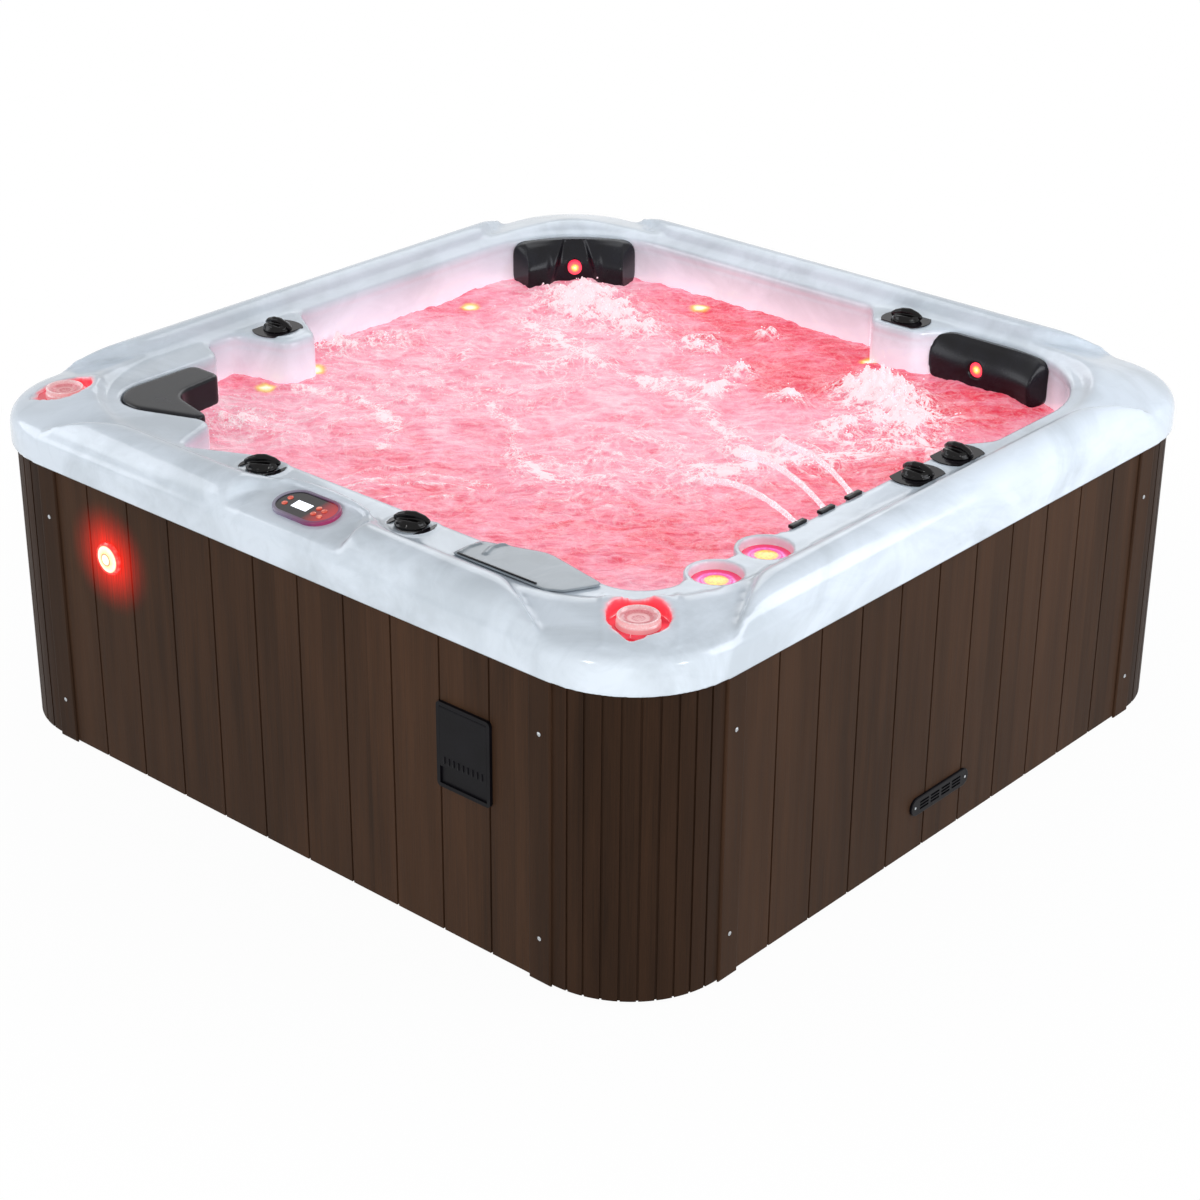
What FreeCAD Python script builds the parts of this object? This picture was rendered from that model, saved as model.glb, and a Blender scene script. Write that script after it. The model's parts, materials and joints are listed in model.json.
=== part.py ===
import FreeCAD, Part
import math
import os
import Sketcher
from FreeCAD import Placement, Rotation, Vector

# Outdoor hot tub with a moulded acrylic shell in a boarded cabinet.
# Millimetres, +Z up, origin at the centre of the base on the ground.
# The control panel looks to -Y, the vent grille to +X.

document = FreeCAD.newDocument("HotTub")
sheet = document.addObject("Spreadsheet::Sheet", "Sizes")

# Driving sizes
sizes = {
    # rim of the shell
    "rimHalf": 1050.0,
    "rimRadius": 260.0,
    "lipDrop": 134.0,
    "lipHeight": 64.0,
    "plateauEdgeHeight": 79.0,
    "plateauSoftRadius": 40.0,
    "plateauWidth": 180.0,
    "ridgeInset": 111.0,
    "ridgeRadius": 370.0,
    "ridgeDrop": 12.0,
    "crestTop": 848.0,
    "crestInset": 82.0,
    "bolsterInnerInset": 460.0,
    "bolsterOuterInset": 235.0,
    "bolsterEndSlope": 24.0,
    "creaseDepth": 8.0,
    "creaseHeight": 7.0,
    "ledgeDrop": 36.0,
    "ledgeStepRun": 22.0,
    "shellWall": 10.0,
    "hollowChamferRun": 29.0,
    # basin
    "leftLedgeWidth": 153.0,
    "backLedgeWidth": 153.0,
    "frontLedgeWidth": 247.0,
    "rightLedgeWidth": 228.0,
    "headLedgeWidth": 178.0,
    "farSeatRadius": 330.0,
    "headRadius": 310.0,
    "seatTop": 300.0,
    "seatScoop": 28.0,
    "footwellTop": 80.0,
    "footwellLeft": 330.0,
    "footwellRight": 300.0,
    "footwellFront": 430.0,
    "footwellBack": 590.0,
    "footwellRadius": 120.0,
    # cabinet
    "rimOverhang": 14.0,
    "panelThickness": 25.0,
    "panelBottom": 8.0,
    "panelTopDrop": 108.0,
    "boardPitch": 139.0,
    "boardGrooveWidth": 5.0,
    "boardGrooveDepth": 5.0,
    "cornerRadius": 241.0,
    "slatGrooveWidth": 5.0,
    "slatGrooveDepth": 4.0,
    "cornerGap": 1.0,
    "trimWidth": 60.0,
    "trimThickness": 6.0,
    "trimTop": 711.0,
    "trimBottom": 4.0,
    "trimBevel": 5.0,
    "screwInset": 28.0,
    "screwLow": 110.0,
    "screwHigh": 587.0,
    "screwHeadRadius": 5.0,
    "screwHeadHeight": 2.2,
    "screwShankRadius": 2.2,
    "screwLength": 24.0,
    # base and frame
    "panThickness": 12.0,
    "railWidth": 60.0,
    "railHeight": 40.0,
    "railEndInset": 308.0,
    "postWidth": 50.0,
    "postEndInset": 38.0,
    "supportWidth": 120.0,
    # valve knobs
    "plateRadius": 50.0,
    "plateThickness": 4.0,
    "knobRadius": 31.0,
    "knobHeight": 19.0,
    "knobSkirt": 4.0,
    "finLength": 80.0,
    "finWidth": 17.0,
    "finHeight": 9.0,
    "knobGap": 0.4,
    "stemRadius": 9.0,
    "valveRadius": 27.0,
    "valveDepth": 72.0,
    "fitClearance": 0.5,
    # keypad
    "keypadX": 22.0,
    "keypadInset": 95.0,
    "keypadTilt": 9.0,
    "pocketFloorDrop": 32.0,
    "keypadLength": 172.0,
    "keypadWidth": 98.0,
    "keypadRim": 9.0,
    "keypadFloor": 4.0,
    "keypadNeckInset": 12.0,
    "keypadNeckDepth": 24.0,
    "facePlateThickness": 2.0,
    "screenLength": 46.0,
    "screenWidth": 26.0,
    "buttonRadius": 6.5,
    "buttonProud": 2.2,
    "buttonTravel": 1.0,
    "buttonGap": 0.4,
    # speakers
    "speakerNearInset": 178.0,
    "speakerNearFrontInset": 180.0,
    "speakerLeftInset": 150.0,
    "speakerLeftFrontInset": 182.0,
    "speakerFloorDrop": 52.0,
    "speakerRecessRadius": 64.0,
    "speakerTip": 86.0,
    "speakerCapRadius": 45.0,
    "speakerCapDrop": 30.0,
    "speakerCanRadius": 49.0,
    "speakerCanDepth": 92.0,
    "speakerBodyDepth": 82.0,
    # cup holders
    "cupInset": 200.0,
    "cupRadius": 56.0,
    "cupDepth": 26.0,
    "cupLensThickness": 7.0,
    "cupLobeRadius": 68.0,
    # waterfall spouts
    "spoutLength": 56.0,
    "spoutHeight": 10.0,
    "spoutProud": 14.0,
    "spoutDrop": 48.0,
    "spoutPitch": 99.0,
    "spoutBodyDepth": 34.0,
    "spoutWall": 1.8,
    # filter
    "wellFrontInset": 164.0,
    "wellBackInset": 248.0,
    "wellDepth": 402.0,
    "wellRadius": 22.0,
    "wellWall": 4.0,
    "wellFlangeThickness": 3.5,
    "mouthWidth": 160.0,
    "mouthBottomDrop": 193.0,
    "mouthTopDrop": 83.0,
    "lidThickness": 10.0,
    "lidSkirt": 8.0,
    "flapThickness": 5.0,
    "flapClearance": 3.0,
    "flapPinRadius": 4.0,
    "cartridgeRadius": 34.0,
    "cartridgeLength": 230.0,
    "cartridgeBore": 14.0,
    "cartridgeCap": 10.0,
    "pleatDepth": 5.0,
    # pillows
    "pillowGap": 0.3,
    "leftPillowDrop": 110.0,
    "pillowTopDrop": 37.0,
    "pillowEdge": 11.0,
    "farPillowDrop": 172.0,
    "farPillowDepth": 84.0,
    "farPillowAngle": 62.0,
    "headPillowDrop": 168.0,
    "headPillowDepth": 58.0,
    "headPillowTurn": 26.0,
    "channelRadius": 9.0,
    "pillowLightRadius": 19.0,
    "pillowLightDepth": 14.0,
    # lights and jets
    "pointLightRadius": 13.0,
    "pointLightProud": 5.0,
    "pointLightShank": 7.0,
    "jetRadius": 32.0,
    "jetProud": 7.0,
    "jetBodyRadius": 21.0,
    "jetBodyDepth": 42.0,
    "jetNozzleRadius": 9.0,
    "jetEyeRadius": 15.0,
    "suctionRadius": 52.0,
    "suctionProud": 12.0,
    "suctionHeight": 180.0,
    # breaker box
    "breakerZ": 463.0,
    "breakerWidth": 150.0,
    "breakerHeight": 198.0,
    "breakerFlange": 9.0,
    "breakerFlangeThickness": 8.0,
    "breakerDepth": 62.0,
    "breakerWall": 3.0,
    "breakerCorner": 10.0,
    "coverThickness": 4.0,
    "coverGap": 0.4,
    "hingeRadius": 4.0,
    "coverBottomGap": 40.0,
    "moduleWidth": 72.0,
    "moduleHeight": 86.0,
    "moduleDepth": 36.0,
    "toggleWidth": 14.0,
    "toggleLength": 15.0,
    "toggleHubRadius": 6.0,
    "toggleLean": 25.0,
    # vent grille
    "ventY": -16.0,
    "ventZ": 120.0,
    "ventLength": 220.0,
    "ventHeight": 44.0,
    "ventProud": 6.0,
    "ventSlotHeight": 5.0,
    "ventSlotPitch": 8.0,
    "ventGroupPitch": 41.0,
    "ventSlotLength": 33.0,
    "ventDepth": 16.0,
    # cabinet light
    "beaconZ": 545.0,
    "beaconRadius": 39.0,
    "beaconRim": 6.0,
    "beaconProud": 9.0,
    "beaconHole": 30.0,
    "beaconDepth": 30.0,
    "lensDome": 5.0,
    # equipment
    "pumpRadius": 78.0,
    "pumpLength": 250.0,
    "pumpHeadRadius": 98.0,
    "pumpHeadLength": 84.0,
    "pumpAxisHeight": 120.0,
    "pumpInset": 396.0,
    "pumpFootWidth": 130.0,
    "pipeRadius": 25.0,
    "branchRadius": 20.0,
    "pipeWall": 3.0,
    "controlWidth": 340.0,
    "controlDepth": 105.0,
    "controlHeight": 240.0,
    "controlX": -330.0,
    "controlEdge": 8.0,
    "heaterRadius": 32.0,
    "heaterLength": 330.0,
    "heaterCollarRadius": 40.0,
    "overrun": 5.0,
    "cutHeight": 90.0,
}


class Size:
    """A length with its value and the sheet expression that gives it."""

    def __init__(self, amount, text):
        self.amount = float(amount)
        self.text = text

    def __float__(self):
        return self.amount

    def __add__(self, other):
        other = asSize(other)
        return Size(self.amount + other.amount, "(" + self.text + " + " + other.text + ")")

    def __radd__(self, other):
        return asSize(other) + self

    def __sub__(self, other):
        other = asSize(other)
        return Size(self.amount - other.amount, "(" + self.text + " - " + other.text + ")")

    def __rsub__(self, other):
        return asSize(other) - self

    def __mul__(self, other):
        other = asSize(other)
        return Size(self.amount * other.amount, "(" + self.text + " * " + other.text + ")")

    def __rmul__(self, other):
        return asSize(other) * self

    def __truediv__(self, other):
        other = asSize(other)
        return Size(self.amount / other.amount, "(" + self.text + " / " + other.text + ")")

    def __neg__(self):
        return Size(-self.amount, "(-1 * " + self.text + ")")


def asSize(thing):
    if isinstance(thing, Size):
        return thing
    return Size(thing, repr(float(thing)))


class Names:
    """Driving sizes by name."""


s = Names()
for row, (alias, amount) in enumerate(sizes.items(), start=1):
    sheet.set("A" + str(row), alias)
    sheet.set("B" + str(row), str(amount))
    sheet.setAlias("B" + str(row), alias)
    setattr(s, alias, Size(amount, "Sizes." + alias))
document.recompute()

# Heights of the rim and what sits in it, down from the crest
s.lipBottom = s.crestTop - s.lipDrop
s.ridgeTop = s.crestTop - s.ridgeDrop
s.ledgeTop = s.crestTop - s.ledgeDrop
s.panelTop = s.crestTop - s.panelTopDrop
s.pocketFloorHeight = s.crestTop - s.pocketFloorDrop
s.speakerFloor = s.crestTop - s.speakerFloorDrop
s.speakerCapTop = s.crestTop - s.speakerCapDrop
s.spoutTop = s.crestTop - s.spoutDrop
s.mouthBottom = s.crestTop - s.mouthBottomDrop
s.mouthTop = s.crestTop - s.mouthTopDrop
s.leftPillowBottom = s.crestTop - s.leftPillowDrop
s.pillowTop = s.crestTop - s.pillowTopDrop
s.farPillowBottom = s.crestTop - s.farPillowDrop
s.headPillowBottom = s.crestTop - s.headPillowDrop

# Lines that run along the rim, from its outer edge
s.cabinetHalf = s.rimHalf - s.rimOverhang
s.ridgeHalf = s.rimHalf - s.ridgeInset
s.bolsterInnerHalf = s.rimHalf - s.bolsterInnerInset
s.bolsterOuterHalf = s.rimHalf - s.bolsterOuterInset
s.basinLeft = s.rimHalf - s.leftLedgeWidth
s.basinBack = s.rimHalf - s.backLedgeWidth
s.basinFront = s.rimHalf - s.frontLedgeWidth
s.basinRight = s.rimHalf - s.rightLedgeWidth
s.headRight = s.rimHalf - s.headLedgeWidth
s.keypadY = s.keypadInset - s.rimHalf
s.speakerNearX = s.rimHalf - s.speakerNearInset
s.speakerNearY = s.speakerNearFrontInset - s.rimHalf
s.speakerLeftX = s.speakerLeftInset - s.rimHalf
s.speakerLeftY = s.speakerLeftFrontInset - s.rimHalf
s.cupX = s.rimHalf - s.cupInset
s.wellFront = s.rimHalf - s.wellFrontInset
s.wellBack = s.rimHalf - s.wellBackInset
s.railHalf = s.cabinetHalf - s.railEndInset
s.postOuter = s.railHalf - s.postEndInset
s.pumpY = s.pumpInset - s.cabinetHalf

# Places along a side, as shares of the rim's half width
placeShares = {
    "loungeEdge": 0.32381,
    "cupNearY": -0.574286,
    "cupFarY": -0.419048,
    "spoutFirstY": -0.266667,
    "wellLeft": 0.419048,
    "wellRight": 0.64,
    "headPillowLeft": 0.335238,
    "breakerX": 0.531429,
    "beaconX": -0.533333,
    "postInner": 0.228571,
}
for alias, share in placeShares.items():
    setattr(s, alias, s.rimHalf * share)

nodes = []


def keep(thing, label):
    thing.Label = label
    nodes.append(thing)
    return thing


def bind(thing, name, size):
    size = asSize(size)
    thing.setExpression(name, size.text)


def place(thing, x=0, y=0, z=0, rotation=None):
    spots = [asSize(x), asSize(y), asSize(z)]
    base = Vector(*[spot.amount for spot in spots])
    thing.Placement = Placement(base, rotation or Rotation())
    for letter, spot in zip("xyz", spots):
        if spot.text.count("Sizes."):
            bind(thing, ".Placement.Base." + letter, spot)


# Sketched bodies

def newBody(name):
    return document.addObject("PartDesign::Body", name)


def originPlane(body, role):
    return [part for part in body.Origin.OriginFeatures if part.Role == role][0]


def newSketch(body, role="XY_Plane", offset=0):
    sketch = body.newObject("Sketcher::SketchObject", body.Name + "Sketch")
    sketch.AttachmentSupport = [(originPlane(body, role), "")]
    sketch.MapMode = "FlatFace"
    offset = asSize(offset)
    sketch.AttachmentOffset = Placement(Vector(0, 0, offset.amount), Rotation())
    if offset.text.count("Sizes."):
        bind(sketch, ".AttachmentOffset.Base.z", offset)
    return sketch


def fix(sketch, kind, first, point, size):
    size = asSize(size)
    if abs(size.amount) < 1e-9:
        axis = -2 if kind == "DistanceX" else -1
        sketch.addConstraint(Sketcher.Constraint("PointOnObject", first, point, axis))
        return
    index = sketch.addConstraint(Sketcher.Constraint(kind, -1, 1, first, point, size.amount))
    if size.text.count("Sizes."):
        bind(sketch, "Constraints[" + str(index) + "]", size)


def drawPolygon(sketch, points):
    first = sketch.GeometryCount
    count = len(points)
    corners = [Vector(float(x), float(y), 0) for x, y in points]
    for index in range(count):
        sketch.addGeometry(Part.LineSegment(corners[index], corners[(index + 1) % count]), False)
    for index in range(count):
        following = first + (index + 1) % count
        sketch.addConstraint(Sketcher.Constraint("Coincident", first + index, 2, following, 1))
    for index, (x, y) in enumerate(points):
        fix(sketch, "DistanceX", first + index, 1, x)
        fix(sketch, "DistanceY", first + index, 1, y)


def drawCircle(sketch, radius, x=0, y=0):
    radius = asSize(radius)
    centre = Vector(float(x), float(y), 0)
    index = sketch.addGeometry(Part.Circle(centre, Vector(0, 0, 1), radius.amount), False)
    fix(sketch, "DistanceX", index, 3, x)
    fix(sketch, "DistanceY", index, 3, y)
    mark = sketch.addConstraint(Sketcher.Constraint("Radius", index, radius.amount))
    bind(sketch, "Constraints[" + str(mark) + "]", radius)


def drawRectangle(sketch, length, width, x=0, y=0):
    left = asSize(x) - length / 2
    right = asSize(x) + length / 2
    low = asSize(y) - width / 2
    high = asSize(y) + width / 2
    drawPolygon(sketch, [(left, low), (right, low), (right, high), (left, high)])


def drawRoundedRectangle(sketch, length, width, radius, x=0, y=0):
    first = sketch.GeometryCount
    centres = []
    for signX, signY in ((1, 1), (-1, 1), (-1, -1), (1, -1)):
        centres.append((asSize(x) + signX * (length / 2 - radius), asSize(y) + signY * (width / 2 - radius)))
    for quarter, (centreX, centreY) in enumerate(centres):
        centre = Vector(float(centreX), float(centreY), 0)
        circle = Part.Circle(centre, Vector(0, 0, 1), float(radius))
        start = quarter * math.pi / 2
        sketch.addGeometry(Part.ArcOfCircle(circle, start, start + math.pi / 2), False)
    for quarter in range(4):
        here = centres[quarter]
        after = centres[(quarter + 1) % 4]
        angle = (quarter + 1) * math.pi / 2
        push = Vector(math.cos(angle), math.sin(angle), 0) * float(radius)
        start = Vector(float(here[0]), float(here[1]), 0) + push
        end = Vector(float(after[0]), float(after[1]), 0) + push
        sketch.addGeometry(Part.LineSegment(start, end), False)
    for quarter, (centreX, centreY) in enumerate(centres):
        fix(sketch, "DistanceX", first + quarter, 3, centreX)
        fix(sketch, "DistanceY", first + quarter, 3, centreY)
        mark = sketch.addConstraint(Sketcher.Constraint("Radius", first + quarter, float(radius)))
        bind(sketch, "Constraints[" + str(mark) + "]", radius)
    for quarter in range(4):
        line = first + 4 + quarter
        following = first + (quarter + 1) % 4
        sketch.addConstraint(Sketcher.Constraint("Tangent", first + quarter, 2, line, 1))
        sketch.addConstraint(Sketcher.Constraint("Tangent", line, 2, following, 1))


def drawStadium(sketch, length, width, x=0, y=0):
    first = sketch.GeometryCount
    radius = width / 2
    reach = length / 2 - radius
    for sign, start in ((1, -math.pi / 2), (-1, math.pi / 2)):
        centre = Vector(float(x) + sign * float(reach), float(y), 0)
        circle = Part.Circle(centre, Vector(0, 0, 1), float(radius))
        sketch.addGeometry(Part.ArcOfCircle(circle, start, start + math.pi), False)
    top = float(y) + float(radius)
    low = float(y) - float(radius)
    left = float(x) - float(reach)
    right = float(x) + float(reach)
    sketch.addGeometry(Part.LineSegment(Vector(right, top, 0), Vector(left, top, 0)), False)
    sketch.addGeometry(Part.LineSegment(Vector(left, low, 0), Vector(right, low, 0)), False)
    for index, sign in ((0, 1), (1, -1)):
        fix(sketch, "DistanceX", first + index, 3, asSize(x) + sign * reach)
        fix(sketch, "DistanceY", first + index, 3, y)
        mark = sketch.addConstraint(Sketcher.Constraint("Radius", first + index, float(radius)))
        bind(sketch, "Constraints[" + str(mark) + "]", radius)
    joins = ((0, 2, 2, 1), (2, 2, 1, 1), (1, 2, 3, 1), (3, 2, 0, 1))
    for one, onePoint, other, otherPoint in joins:
        sketch.addConstraint(Sketcher.Constraint("Tangent", first + one, onePoint, first + other, otherPoint))


def pad(body, sketch, length, backward=False, midplane=False):
    feature = body.newObject("PartDesign::Pad", body.Name + "Pad")
    feature.Profile = sketch
    feature.Length = float(length)
    bind(feature, "Length", length)
    feature.Reversed = backward
    feature.Midplane = midplane
    return feature


def pocket(body, sketch, length, backward=False, midplane=False):
    feature = body.newObject("PartDesign::Pocket", body.Name + "Pocket")
    feature.Profile = sketch
    feature.Length = float(length)
    bind(feature, "Length", length)
    feature.Reversed = backward
    feature.Midplane = midplane
    return feature


def spin(body, sketch, angle=360, axis="V_Axis", kind="PartDesign::Revolution"):
    feature = body.newObject(kind, body.Name + "Turn")
    feature.Profile = sketch
    feature.ReferenceAxis = (sketch, [axis])
    feature.Angle = float(angle)
    if isinstance(angle, Size):
        bind(feature, "Angle", angle)
    return feature


def linear(body, feature, role, length, count):
    pattern = body.newObject("PartDesign::LinearPattern", body.Name + "Row")
    pattern.Originals = [feature]
    pattern.Direction = (originPlane(body, role), [""])
    pattern.Length = float(length)
    bind(pattern, "Length", length)
    pattern.Occurrences = count
    body.Tip = pattern
    return pattern


def polar(body, feature, role, angle, count):
    pattern = body.newObject("PartDesign::PolarPattern", body.Name + "Ring")
    pattern.Originals = [feature]
    pattern.Axis = (originPlane(body, role), [""])
    pattern.Angle = angle
    pattern.Occurrences = count
    body.Tip = pattern
    return pattern


def roundEdges(body, chosen, radius, kind="PartDesign::Fillet"):
    document.recompute()
    base = body.Tip
    picked = []
    for index, edge in enumerate(base.Shape.Edges, start=1):
        if chosen(edge):
            picked.append("Edge" + str(index))
    feature = body.newObject(kind, body.Name + "Soft")
    feature.Base = (base, picked)
    name = "Radius" if kind.endswith("Fillet") else "Size"
    setattr(feature, name, float(radius))
    bind(feature, name, radius)
    return feature


def atHeight(height):
    def chosen(edge):
        box = edge.BoundBox
        return abs(box.ZMin - float(height)) < 1e-4 and abs(box.ZMax - float(height)) < 1e-4
    return chosen


# Plain shapes

def rounded(points, height):
    """Closed wire through corners (x, y, radius) at one height."""
    spots = [(Vector(float(x), float(y), 0), float(radius)) for x, y, radius in points]
    count = len(spots)
    starts = []
    ends = []
    middles = []
    for index, (corner, radius) in enumerate(spots):
        before = (spots[index - 1][0] - corner).normalize()
        after = (spots[(index + 1) % count][0] - corner).normalize()
        half = before.getAngle(after) / 2
        reach = radius / math.tan(half)
        starts.append(corner + before * reach)
        ends.append(corner + after * reach)
        bisector = (before + after).normalize()
        middles.append(corner + bisector * (radius / math.sin(half) - radius))
    edges = []
    for index in range(count):
        following = (index + 1) % count
        edges.append(Part.Arc(starts[index], middles[index], ends[index]).toShape())
        if (starts[following] - ends[index]).Length > 1e-6:
            edges.append(Part.LineSegment(ends[index], starts[following]).toShape())
    wire = Part.Wire(edges)
    wire.translate(Vector(0, 0, float(height)))
    return wire


def squareWire(half, radius, height):
    half = float(half)
    corners = [(-half, -half, radius), (half, -half, radius), (half, half, radius), (-half, half, radius)]
    return rounded(corners, height)


def rise(wire, height):
    return Part.Face(wire).extrude(Vector(0, 0, float(height)))


def tube(radius, length, base, direction):
    return Part.makeCylinder(float(radius), float(length), base, direction)


def sidePlacement(side, u, height, depth=0):
    """Local x runs along a cabinet side, local y up, local z outward."""
    turn = Rotation(Vector(0, 0, 1), 90 * side)
    stand = turn.multiply(Rotation(Vector(1, 0, 0), 90))
    base = turn.multVec(Vector(float(u), -float(s.cabinetHalf) - float(depth), float(height)))
    return Placement(base, stand)


sideTurns = [Rotation(Vector(0, 0, 1), 90 * side) for side in range(4)]


def turned(shape, side):
    copy = shape.copy()
    copy.Placement = Placement(Vector(), sideTurns[side]).multiply(copy.Placement)
    return copy


def feature(label, shape):
    thing = document.addObject("Part::Feature", label)
    thing.Shape = shape
    return keep(thing, label)


def group(label, shapes):
    return feature(label, Part.makeCompound(shapes))


# Shell outlines

lipTop = s.lipBottom + s.lipHeight
above = s.ridgeTop + s.lipHeight
stepHalf = s.ridgeHalf - s.ledgeStepRun
stepRadius = s.ridgeRadius - s.ledgeStepRun
crestHalf = s.rimHalf - s.crestInset

# Corners of the basin at the ledge, in walls and in shares of the rim's half width:
# armrest tongues, scallops and lobes are drawn between the straight walls.
notchShares = (-0.7733, -0.8248, 0.0905)
frontTongueShares = ((-0.4838, -0.7105, 0.0400), (-0.4333, -0.8505, 0.0171))
backLobeShares = ((0.381, 0.029), (0.319, 0.038), (0.195, 0.038), (0.133, 0.029))
leftLobeShares = ((-0.119, 0.029), (-0.2, 0.033), (-0.286, 0.033), (-0.327, 0.024), (-0.41, 0.021))
leftTongueShares = (-0.7733, -0.4476, 0.0420)
backLobeReachShare = 0.085
leftLobeReachShare = 0.142
filterBulgeShares = (0.376, 0.405, 0.0143)
ledgeEaseShare = 0.038
nearCornerShare = 0.105
headStartShares = (0.276, 0.343)
frontEaseShares = (-0.257, 0.057)


def share(*amounts):
    return tuple(float(s.rimHalf) * amount for amount in amounts)


def openingCorners():
    left = -float(s.basinLeft)
    back = float(s.basinBack)
    front = -float(s.basinFront)
    right = float(s.basinRight)
    head = float(s.headRight)
    bulge = share(*filterBulgeShares)
    ease = share(ledgeEaseShare)[0]
    lobeBack = back - share(backLobeReachShare)[0]
    lobeLeft = left + share(leftLobeReachShare)[0]
    corners = [share(*notchShares)]
    corners += [share(*corner) for corner in frontTongueShares]
    frontEase = share(*frontEaseShares)
    corners.append((frontEase[0], front, frontEase[1]))
    corners.append((bulge[0], front, ease))
    corners.append((bulge[1], front + bulge[2], ease / 2))
    corners.append((right, front + bulge[2], share(nearCornerShare)[0]))
    start = share(*headStartShares)
    corners.append((right, start[0], ease))
    corners.append((head, start[1], ease))
    corners.append((head, back, float(s.headRadius)))
    for depth, corner in zip((back, lobeBack, lobeBack, back), backLobeShares):
        spot = share(*corner)
        corners.append((spot[0], depth, spot[1]))
    corners.append((left, back, float(s.farSeatRadius)))
    for depth, corner in zip((left, lobeLeft, lobeLeft, left, left), leftLobeShares):
        spot = share(*corner)
        corners.append((depth, spot[0], spot[1]))
    corners.append(share(*leftTongueShares))
    return corners


def grown(corners, grow):
    """The same rounded outline, moved outward everywhere by one distance."""
    grow = float(grow)
    count = len(corners)
    result = []
    for index, (x, y, radius) in enumerate(corners):
        here = Vector(x, y, 0)
        before = here - Vector(*corners[index - 1][:2], 0)
        after = Vector(*corners[(index + 1) % count][:2], 0) - here
        before.normalize()
        after.normalize()
        outBefore = Vector(before.y, -before.x, 0)
        outAfter = Vector(after.y, -after.x, 0)
        middle = outBefore + outAfter
        middle = middle * (2 * grow / middle.Length ** 2)
        leftTurn = before.x * after.y - before.y * after.x > 0
        corner = here + middle
        result.append((corner.x, corner.y, radius + grow if leftTurn else radius - grow))
    return result


# Side view of the lounge seat (y, height, radius) in shares of the rim's half width
loungeShares = (
    (0.8600, 0.5900, 0.02),
    (0.7100, 0.3120, 0.10),
    (0.4500, 0.2850, 0.14),
    (0.1250, 0.4100, 0.16),
    (-0.4100, 0.3300, 0.06),
    (-0.5350, 0.2400, 0.04),
    (-0.9000, 0.2400, 0.04),
)


def loungeSpace(grow):
    high = float(above) + float(s.overrun)
    corners = [share(*corner) for corner in loungeShares]
    corners.append((corners[-1][0], high, 0.1))
    corners.append((corners[0][0], high, 0.1))
    corners = grown(corners[::-1], grow)
    flat = rounded(corners, 0)
    stand = Placement(Vector(), Rotation(Vector(1, 1, 1), 120))
    flat.Placement = stand
    start = float(s.loungeEdge) - float(grow)
    prism = Part.Face(flat).extrude(Vector(float(s.rimHalf), 0, 0))
    prism.translate(Vector(start, 0, 0))
    return prism


def basinSpace(grow):
    grow = float(grow)
    outline = grown(openingCorners(), grow)
    high = float(above)
    seat = float(s.seatTop) - grow
    whole = float(s.rimHalf) * 2
    seats = rise(rounded(outline, seat), high - seat)
    seatSide = Part.makeBox(whole, whole, high * 2)
    seatSide.translate(Vector(float(s.loungeEdge) + grow - whole, -whole / 2, -high / 2))
    seats = seats.common(seatSide)
    base = float(s.footwellTop) - grow
    lounge = rise(rounded(outline, base), high - base).common(loungeSpace(grow))
    footwell = [
        (-float(s.footwellLeft), -float(s.footwellFront), float(s.footwellRadius)),
        (float(s.footwellRight), -float(s.footwellFront), float(s.footwellRadius)),
        (float(s.footwellRight), float(s.footwellBack), float(s.footwellRadius)),
        (-float(s.footwellLeft), float(s.footwellBack), float(s.footwellRadius)),
    ]
    well = rise(rounded(grown(footwell, grow), base), float(s.seatTop) - base)
    return seats.fuse([lounge, well] + [scoop(spots, grow) for spots in scoopShares])


# Scooped seats in the left and far corners (low x, low y, high x, high y, radius)
scoopShares = (
    (-0.72, -0.67, -0.36, -0.45, 0.08),
    (-0.80, 0.34, -0.36, 0.80, 0.12),
)


def scoop(shares, grow):
    lowX, lowY, highX, highY, radius = share(*shares)
    corners = [(lowX, lowY, radius), (highX, lowY, radius), (highX, highY, radius), (lowX, highY, radius)]
    floor = float(s.seatTop) - float(s.seatScoop) - float(grow)
    return rise(rounded(grown(corners, grow), floor), float(s.seatScoop) + float(grow))


def rimBody():
    edge = s.lipBottom + s.plateauEdgeHeight
    inner = s.rimHalf - s.plateauWidth
    wires = [
        squareWire(s.rimHalf, s.rimRadius, s.lipBottom),
        squareWire(s.rimHalf, s.rimRadius, edge),
        squareWire(inner, s.rimRadius - s.plateauWidth, s.ridgeTop),
    ]
    body = Part.makeLoft(wires, True, True)
    sharp = [one for one in body.Edges if atHeight(edge)(one)]
    return body.makeFillet(float(s.plateauSoftRadius), sharp)


def arcToCrest(end):
    """Arc from the crest, where it is level, down to an end point (half width, height)."""
    crest = (float(crestHalf), float(s.crestTop))
    run = end[0] - crest[0]
    drop = crest[1] - end[1]
    radius = (run * run + drop * drop) / (2 * drop)
    angle = math.atan2(run, radius - drop) / 2
    middle = (crest[0] + radius * math.sin(angle), crest[1] - radius + radius * math.cos(angle))
    return [Vector(0, -point[0], point[1]) for point in (end, middle, crest)]


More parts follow.
